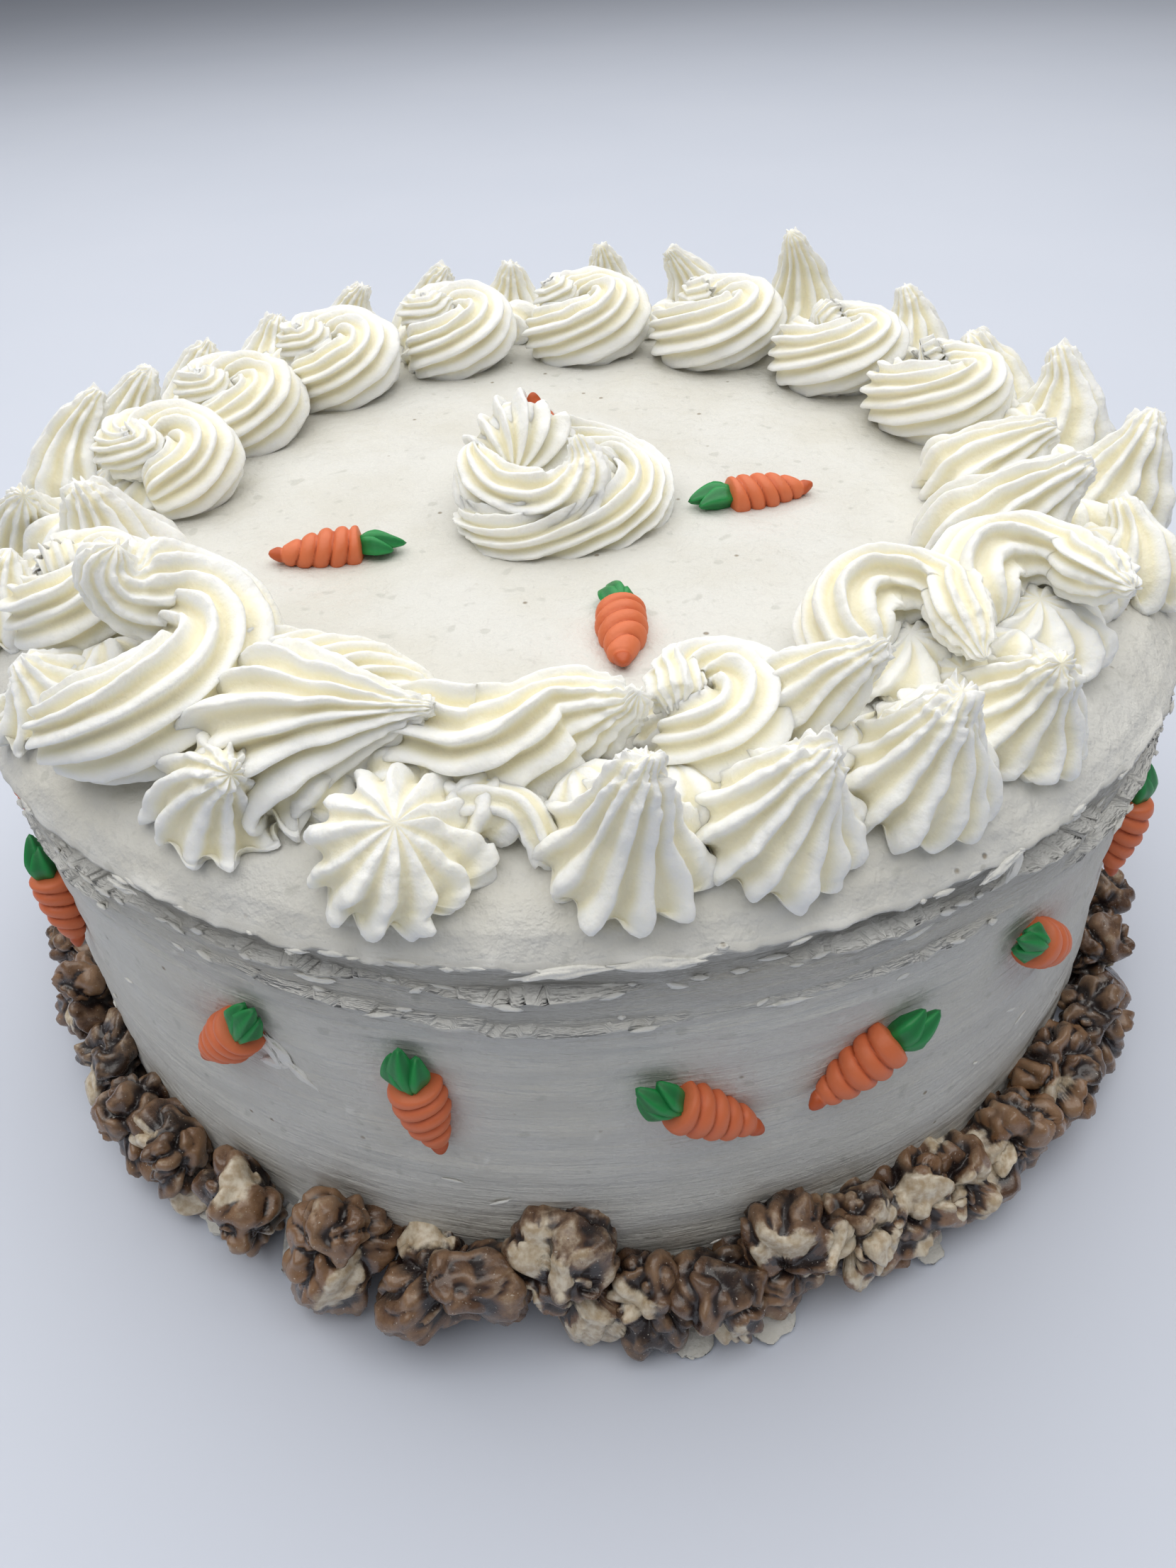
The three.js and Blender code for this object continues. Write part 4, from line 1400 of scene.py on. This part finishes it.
@dataclass
class CarrotSet:
    """All the icing carrots, on the top, behind the middle swirl and round the side."""

    lift: float = 1.5  # height of the carrots' middle line over the frosting, mm
    sink: float = 0.4  # how far those on the side are pressed in, mm
    top: tuple[tuple[str, tuple[float, float], tuple[float, float]], ...] = (  # node, leaf, tip
        ("top_carrot_left", (-32.0, -20.5), (-57.0, -23.0)),
        ("top_carrot_right", (24.0, -10.5), (47.5, -5.5)),
        ("top_carrot_front", (7.1, -40.5), (7.8, -66.5)),
    )
    tucked: tuple[Point, Point] = ((-4.0, 17.5, -5.5), (-5.9, 8.4, 16.9))  # leaf and tip of the hidden one

    def frame_on(self, carrot: IcingCarrot, middle: Array, along: Array, out: Array) -> Matrix:
        """Frame of a carrot laid on a surface.

        Args:
            carrot: the carrot.
            middle: the surface under its middle, mm.
            along: unit direction from leaf to tip.
            out: unit direction away from the cake.

        Returns:
            The matrix, in metres, whose origin is the crown.
        """
        leaf = carrot.length - carrot.root
        crown = middle + out * self.lift - along * (carrot.length / 2 - leaf)
        columns = np.stack([along, np.cross(out, along), out], axis=1)
        matrix = Matrix(columns.tolist()).to_4x4()
        matrix.translation = Vector(crown * MM)
        return matrix

    def lay(self, name: str, nodes: list[str], seed: int, place: tuple[Array, ...], finishes: list[Material]) -> None:
        """Builds one carrot and places it.

        Args:
            name: the piece's name.
            nodes: the CAD node that it stands for, if there is one.
            seed: the carrot's own seed.
            place: the surface under its middle, the direction to its tip and the direction outward.
            finishes: icing of the root and of the three lobes.
        """
        carrot = IcingCarrot(seed=seed)
        skins = carrot.skins(self.frame_on(carrot, *place))
        place_piece(f"icing_{name}", skins, finishes, "carrot_icing", *nodes)

    def build(self, orange: Material, green: Material) -> None:
        """Builds and places the carrots.

        Args:
            orange: icing of the roots.
            green: icing of the leaves.
        """
        finishes = [orange, green, green, green]
        for k, (node, leaf, tip) in enumerate(self.top):
            start, end = np.array([*leaf, TOP_Z]), np.array([*tip, TOP_Z])
            along = (end - start) / np.linalg.norm(end - start)
            self.lay(node, [node], k, ((start + end) / 2, along, UP), finishes)
        start, end = (np.array([x, y, TOP_Z + height]) for x, y, height in self.tucked)
        along = (end - start) / np.linalg.norm(end - start)
        out = np.cross(along, np.array([1.0, 0.0, 0.0]))
        out /= np.linalg.norm(out)
        place = ((start + end) / 2 - out * self.lift, along, out)
        self.lay("top_carrot_back", ["top_carrot_back"], 9, place, finishes)
        for k, spot in enumerate(SIDE_CARROTS):
            turn = math.radians(spot.direction)
            along = around(1.0, spot.azimuth + 90.0) * math.cos(turn) + UP * math.sin(turn)
            place = (around(SIDE_R - self.sink, spot.azimuth, spot.height), along, around(1.0, spot.azimuth))
            nodes = [spot.node] if spot.node else []
            self.lay(f"side_carrot_{k + 1:02d}", nodes, 20 + k, place, finishes)


# ---- walnut pieces -----------------------------------------------------------------------------------


@dataclass
class WalnutPiece:
    """One broken piece of walnut: a knot of glossy lobes with folds painted dark as shade, some snapped off to cream
    flesh.
    """

    width: float  # along the rim, mm
    tall: float
    thick: float
    tone: float = 0.0  # -1 near black, 0 brown, 1 golden
    bare: float = 0.35  # share of the lobes that show flesh
    seed: int = 0
    lobes: int = 7
    cuts: int = 26
    sharp: float = 2.1  # how tightly the lobes keep apart
    calming: int = 14  # rounds of smoothing that the ridges are measured from

    def skin(self, matrix: Matrix) -> Skin:
        """The piece's skin, moved into place.

        Args:
            matrix: from the piece's own frame (x along the rim, y outward, z up) to the cake's, in metres.

        Returns:
            The skin with the marks "fold", "flesh", "tone", "convex" and "bare".
        """
        rng = np.random.default_rng(self.seed)
        skin = bmesh.new()
        bmesh.ops.create_cube(skin, size=2.0)
        bmesh.ops.subdivide_edges(skin, edges=skin.edges, cuts=self.cuts, use_grid_fill=True)
        points = np.tan(np.array([v.co for v in skin.verts]) * EIGHTH_TURN)
        rays = directions(points)
        half = np.array([self.width, self.thick, self.tall]) / 2.0
        spots = directions(rng.normal(size=(self.lobes, 3))) * half * rng.uniform(0.35, 0.78, (self.lobes, 1))
        girths = rng.uniform(0.34, 0.66, self.lobes) * float(np.mean(half))
        spots = np.vstack([spots, [[0, 0, 0]], [[0, 0, 0.30 * half[2]]], [[0, 0, -0.30 * half[2]]]])
        girths = np.concatenate([girths, [0.62 * half[1] + 1.0, 0.75 * half[1], 0.75 * half[1]]])
        warp = np.stack([ripple(rays * 2.3 + 5.0, self.seed + k) for k in range(3)], axis=1)
        bent = directions(rays + 0.38 * warp)
        ahead = bent @ spots.T
        inside = girths**2 - (spots**2).sum(axis=1) + ahead**2
        reach = np.where(inside > 0, ahead + np.sqrt(np.clip(inside, 0, None)), -3.0)
        top = reach.max(axis=1)
        share = np.exp(self.sharp * (reach - top[:, None]))
        soft = top + np.log(share.sum(axis=1)) / self.sharp
        order = np.sort(reach, axis=1)
        crease = unit((order[:, -1] - order[:, -2]) / 1.9)
        places = rays * soft[:, None]
        share /= share.sum(axis=1)[:, None]
        count = len(girths)
        flesh_of = (rng.uniform(size=count) < self.bare).astype(float)
        tone_of = self.tone + rng.normal(0.0, 0.28, count)
        flesh = np.zeros(len(rays))
        snap = rng.normal(size=(count, 3))
        snap[:, 1] = np.abs(snap[:, 1]) + 0.5
        snap = directions(snap)
        for k in np.flatnonzero(flesh_of > 0):
            past = (places - spots[k]) @ snap[k] - 0.60 * girths[k]
            places -= (0.7 * share[:, k] * np.clip(past, 0, None))[:, None] * snap[k]
            flesh += share[:, k] * unit(0.5 + past / 2.2)
        wrinkle = ripple(places / 2.4, self.seed + 8)
        groove = np.abs(ripple(places / 5.0, self.seed + 9))
        fine = ripple(places / 0.9, self.seed + 10)
        channel = np.abs(ripple((places + 1.5 * warp) / 8.5, self.seed + 11))
        rise = 0.4 * wrinkle + 1.0 * (unit(groove * 4.0) - 0.8) + (0.05 + 0.2 * flesh) * fine
        rise += 3.0 * (unit(channel * 4.5) ** 0.7 - 0.8)
        places = places + rays * rise[:, None]
        move_points(skin, places)
        # fold is low in the creases, where the walnut finish paints shade
        fold = unit(crease * 1.1) * unit(0.25 + groove * 3.0) * unit(0.1 + channel * 4.0)
        smooth = skin.copy()
        for _ in range(self.calming):
            bmesh.ops.smooth_vert(
                smooth, verts=smooth.verts, factor=0.5, use_axis_x=True, use_axis_y=True, use_axis_z=True
            )
        calm = np.array([v.co for v in smooth.verts]) / MM
        smooth.free()
        # convex marks the ridges for a painted highlight and the hollows for painted shade
        convex = unit(0.5 + ((places - calm) * rays).sum(axis=1) / 1.1)
        tone, bare = share @ tone_of, np.full(len(convex), self.bare)
        mark_points(skin, {"fold": fold, "flesh": flesh, "tone": tone, "convex": convex, "bare": bare})
        bmesh.ops.recalc_face_normals(skin, faces=skin.faces)
        bmesh.ops.transform(skin, matrix=matrix, verts=skin.verts)
        return skin


@dataclass
class WalnutBank:
    """The bank of walnut pieces leaning on the foot of the cake, with frosting squeezed out between them."""

    front: tuple[Row, ...] = (  # azimuth, width, height, roll, tone, bare
        (-77.0, 20, 24, 10, 0.0, 0.3), (-67.0, 18, 25, -15, -0.1, 0.2), (-58.0, 18, 26, 20, -1.0, 0.5),
        (-49.5, 18, 22, -20, 0.0, 0.3), (-43.0, 16, 24, 25, 0.1, 0.3), (-33.5, 24, 29, -12, 0.1, 0.4),
        (-23.5, 23, 26, 30, 0.4, 0.35), (-13.5, 27, 24, 75, -0.4, 0.35), (-3.5, 25, 33, -12, 0.0, 0.65),
        (3.2, 14, 29, 8, -0.5, 0.2), (8.6, 15, 27, -20, -0.4, 0.3), (15.0, 24, 31, 15, 0.1, 0.45),
        (21.0, 13, 28, -8, 0.2, 0.6), (26.5, 20, 28, 12, 0.2, 0.6), (32.0, 15, 25, -12, 0.1, 0.6),
        (39.5, 24, 29, 5, 0.1, 0.15), (47.5, 19, 27, -20, 0.2, 0.1), (56.0, 18, 27, 10, -0.3, 0.3),
        (65.0, 19, 25, -25, 0.2, 0.4),
    )
    front_cuts: int = 26
    back_cuts: int = 19
    back_count: int = 27
    back_seed: int = 33
    back_arc: tuple[float, float] = (74.0, 283.0)  # azimuths of the first and the last
    back_ranges: tuple[tuple[float, float], ...] = (  # width, height, roll, tone, bare
        (18, 25), (22, 30), (-35, 35), (-0.5, 0.4), (0.15, 0.6),
    )
    dabs: tuple[Row, ...] = (  # azimuth, reach, half-width, height
        (6.5, 12.5, 5.5, 3), (13.0, 12.5, 6, 4), (28.5, 11.5, 4, 3), (-28.0, 9, 6, 9), (-38.0, 9, 6, 8),
        (52.0, 9, 6, 8),
    )
    ring: float = 121.6  # radius of the pieces' middles, mm

    def piece(self, spot: Row, seed: int, cuts: int) -> Skin:
        """One piece, stood on the ground against the side.

        Args:
            spot: azimuth from the front in degrees, width and height in mm, roll in the plane of the side in
                degrees, tone from -1 (near black) to 1 (golden), and the share of lobes that show flesh.
            seed: the piece's own seed.
            cuts: fineness.

        Returns:
            The skin in the cake's frame.
        """
        azimuth, width, tall, roll, tone, bare = spot
        rng = np.random.default_rng(seed)
        thick = rng.uniform(13.5, 16.5)
        shape = WalnutPiece(1.1 * width, tall, thick, tone, bare, seed, cuts=cuts)
        spin = Matrix.Rotation(math.radians(azimuth), 4, "Z") @ Matrix.Rotation(math.pi, 4, "Z")
        lean = Matrix.Rotation(rng.uniform(0.0, 0.25), 4, "X") @ Matrix.Rotation(math.radians(roll), 4, "Y")
        out = around(self.ring + rng.uniform(-0.8, 1.2), azimuth)
        skin = shape.skin(Matrix.Translation(Vector(out * MM)) @ spin @ lean)
        low = min(v.co.z for v in skin.verts)
        bmesh.ops.translate(skin, vec=(0, 0, -low), verts=skin.verts)
        return skin

    def smear(self, azimuth: float, reach: float, wide: float, tall: float, seed: int) -> Skin:
        """A dab of frosting squeezed out at the foot.

        Args:
            azimuth: degrees from the front.
            reach: how far it comes from the side, mm.
            wide: half-width along the rim, mm.
            tall: height, mm.
            seed: its own seed.

        Returns:
            The dab's skin.
        """

        def rule(turn: Array, along: Array) -> Shape:
            """A lumpy low mound that thins outward."""
            phi, rise = turn * TAU, along * math.pi
            ball = np.stack([np.sin(rise) * np.cos(phi), np.sin(rise) * np.sin(phi), -np.cos(rise)], axis=1)
            lump = 1.0 + 0.34 * ripple(ball * 1.8, seed) + 0.10 * ripple(ball * 5.0, seed + 1)
            local = ball * lump[:, None] * np.array([wide, reach / 2 + 3.0, 0.0])
            thin = np.clip(1.15 - local[:, 1] / (reach * 0.8), 0.3, 1.4)
            local[:, 2] = tall * thin * lump * (0.5 - 0.5 * np.cos(rise)) ** 0.8
            out, side = around(1.0, azimuth), around(1.0, azimuth + 90.0)
            places = local[:, :1] * side + (local[:, 1:2] + SIDE_R - 3.0 + reach / 2) * out
            places[:, 2] = local[:, 2]
            return places, {"ridge": 0.4 + 0.6 * unit(lump - 0.8), "side": 0 * phi, "tear": 0 * phi}

        return wrapped_surface(40, 28, rule)

    def build(self, finish: Material, frosting: Material) -> None:
        """Builds and places the bank, the finer pieces in front.

        Args:
            finish: the walnut.
            frosting: the spread frosting of the dabs.
        """
        skins = [self.piece(spot, 900 + 13 * k, self.front_cuts) for k, spot in enumerate(self.front)]
        place_piece("walnuts_front", skins, finish, "walnut", "walnut_ring")
        rng = np.random.default_rng(self.back_seed)
        skins = []
        for k in range(self.back_count):
            start, stop = self.back_arc
            azimuth = start + (stop - start) * (k + 0.2 * rng.uniform(-1, 1)) / (self.back_count - 1)
            spot = (azimuth, *(rng.uniform(low, high) for low, high in self.back_ranges))
            skins.append(self.piece(spot, 1500 + 13 * k, self.back_cuts))
        place_piece("walnuts_back", skins, finish, "walnut", "walnut_ring")
        skins = [self.smear(*dab, seed=700 + k) for k, dab in enumerate(self.dabs)]
        place_piece("frosting_foot_dabs", skins, frosting, "frosting")


# ---- floor, light and camera --------------------------------------------------------------------------


@dataclass
class Studio:
    """Plain pale floor, soft light from above and behind, and the camera."""

    eye: Point = (0.0, -227.09, 213.59)  # mm
    pitch: float = 39.446  # degrees below the horizon
    yaw: float = 0.172
    roll: float = -2.784
    focal: float = 1690.0 / 1659.0  # focal length over the picture's width
    film: float = 36.0  # width of the film, mm
    drop: float = 0.0005  # how far the floor lies under the foot, metres
    floor_tones: tuple[Colour, Colour] = ((0.60, 0.645, 0.75, 1.0), (0.64, 0.68, 0.78, 1.0))

    def camera(self) -> None:
        """Makes the camera."""
        pitch, yaw, roll = (math.radians(a) for a in (self.pitch, self.yaw, self.roll))
        ahead = Vector((math.sin(yaw) * math.cos(pitch), math.cos(yaw) * math.cos(pitch), -math.sin(pitch)))
        right = Vector((math.cos(yaw), -math.sin(yaw), 0.0))
        up = right.cross(ahead)
        turned_right = math.cos(roll) * right + math.sin(roll) * up
        turned_up = -math.sin(roll) * right + math.cos(roll) * up
        data = bpy.data.cameras.new("view")
        data.sensor_fit = "HORIZONTAL"
        data.sensor_width = self.film
        data.lens = self.film * self.focal
        data.clip_start = 0.01
        camera = linked("view", data)
        matrix = Matrix((turned_right, turned_up, -ahead)).transposed().to_4x4()
        matrix.translation = Vector(self.eye) * MM
        camera.matrix_world = matrix
        bpy.context.scene.camera = camera

    def area(self, name: str, place: Point, aim: Point, size: float, power: float, tint: Point) -> None:
        """Adds one soft square light.

        Args:
            name: the light's name.
            place: its middle, metres.
            aim: the point it faces, metres.
            size: side of the square, metres.
            power: watts.
            tint: its colour.
        """
        data = bpy.data.lights.new(name, "AREA")
        data.shape = "SQUARE"
        data.size = size
        data.energy = power
        data.color = tint
        lamp = linked(name, data)
        lamp.location = place
        lamp.rotation_euler = (Vector(place) - Vector(aim)).to_track_quat("Z", "Y").to_euler()

    def floor(self) -> None:
        """Makes the pale floor."""
        sheet = bmesh.new()
        bmesh.ops.create_grid(sheet, x_segments=1, y_segments=1, size=3.0)
        mesh = bpy.data.meshes.new("floor")
        sheet.to_mesh(mesh)
        sheet.free()
        material = bpy.data.materials.new("pale_floor")
        material.use_nodes = True
        wire = Socketed(material.node_tree)
        principled = material.node_tree.nodes["Principled BSDF"]
        cloud = wire.noise(wire.place(), 6.0, 2.0)
        wire.feed(principled.inputs["Base Color"], wire.blend(cloud, *self.floor_tones))
        principled.inputs["Roughness"].default_value = 0.6
        mesh.materials.append(material)
        floor = linked("floor", mesh)
        floor.location.z = -self.drop

    def build(self) -> None:
        """Sets the floor, the lights and the camera."""
        self.floor()
        world = bpy.data.worlds.new("room")
        bpy.context.scene.world = world
        world.use_nodes = True
        background = world.node_tree.nodes["Background"]
        background.inputs["Color"].default_value = (0.70, 0.715, 0.75, 1.0)
        background.inputs["Strength"].default_value = 0.22
        self.area("overhead", (-0.05, 0.18, 1.05), (0.0, 0.0, 0.1), size=2.2, power=27.0, tint=(1.0, 0.985, 0.95))
        self.area("front_fill", (-0.5, -1.0, 0.75), (0.0, 0.0, 0.08), size=0.9, power=0.5, tint=(1.0, 1.0, 1.0))
        bpy.context.scene.view_settings.view_transform = "Standard"
        self.camera()


def main() -> None:
    """Builds the cake from the inside out, then the studio."""
    logging.basicConfig(level=logging.INFO, format="%(name)s: %(message)s")
    spread = SpreadFrosting("spread_frosting").make()
    piped = PipedFrosting("piped_frosting", 0.42).make()
    orange = SetIcing("orange_icing", 0.5).make()
    green = SetIcing("green_icing", 0.45, (0.015, 0.30, 0.07, 1.0), (0.005, 0.11, 0.03, 1.0)).make()
    walnut = WalnutSkin("walnut_skin", 0.4).make()
    coat = SpreadCoat()
    coat.build(spread)
    TornFlecks(coat).build(spread)
    PipedBorder().build(piped)
    MiddleSwirl().build(piped)
    CarrotSet().build(orange, green)
    WalnutBank().build(walnut, spread)
    Studio().build()


if __name__ == "__main__":
    main()
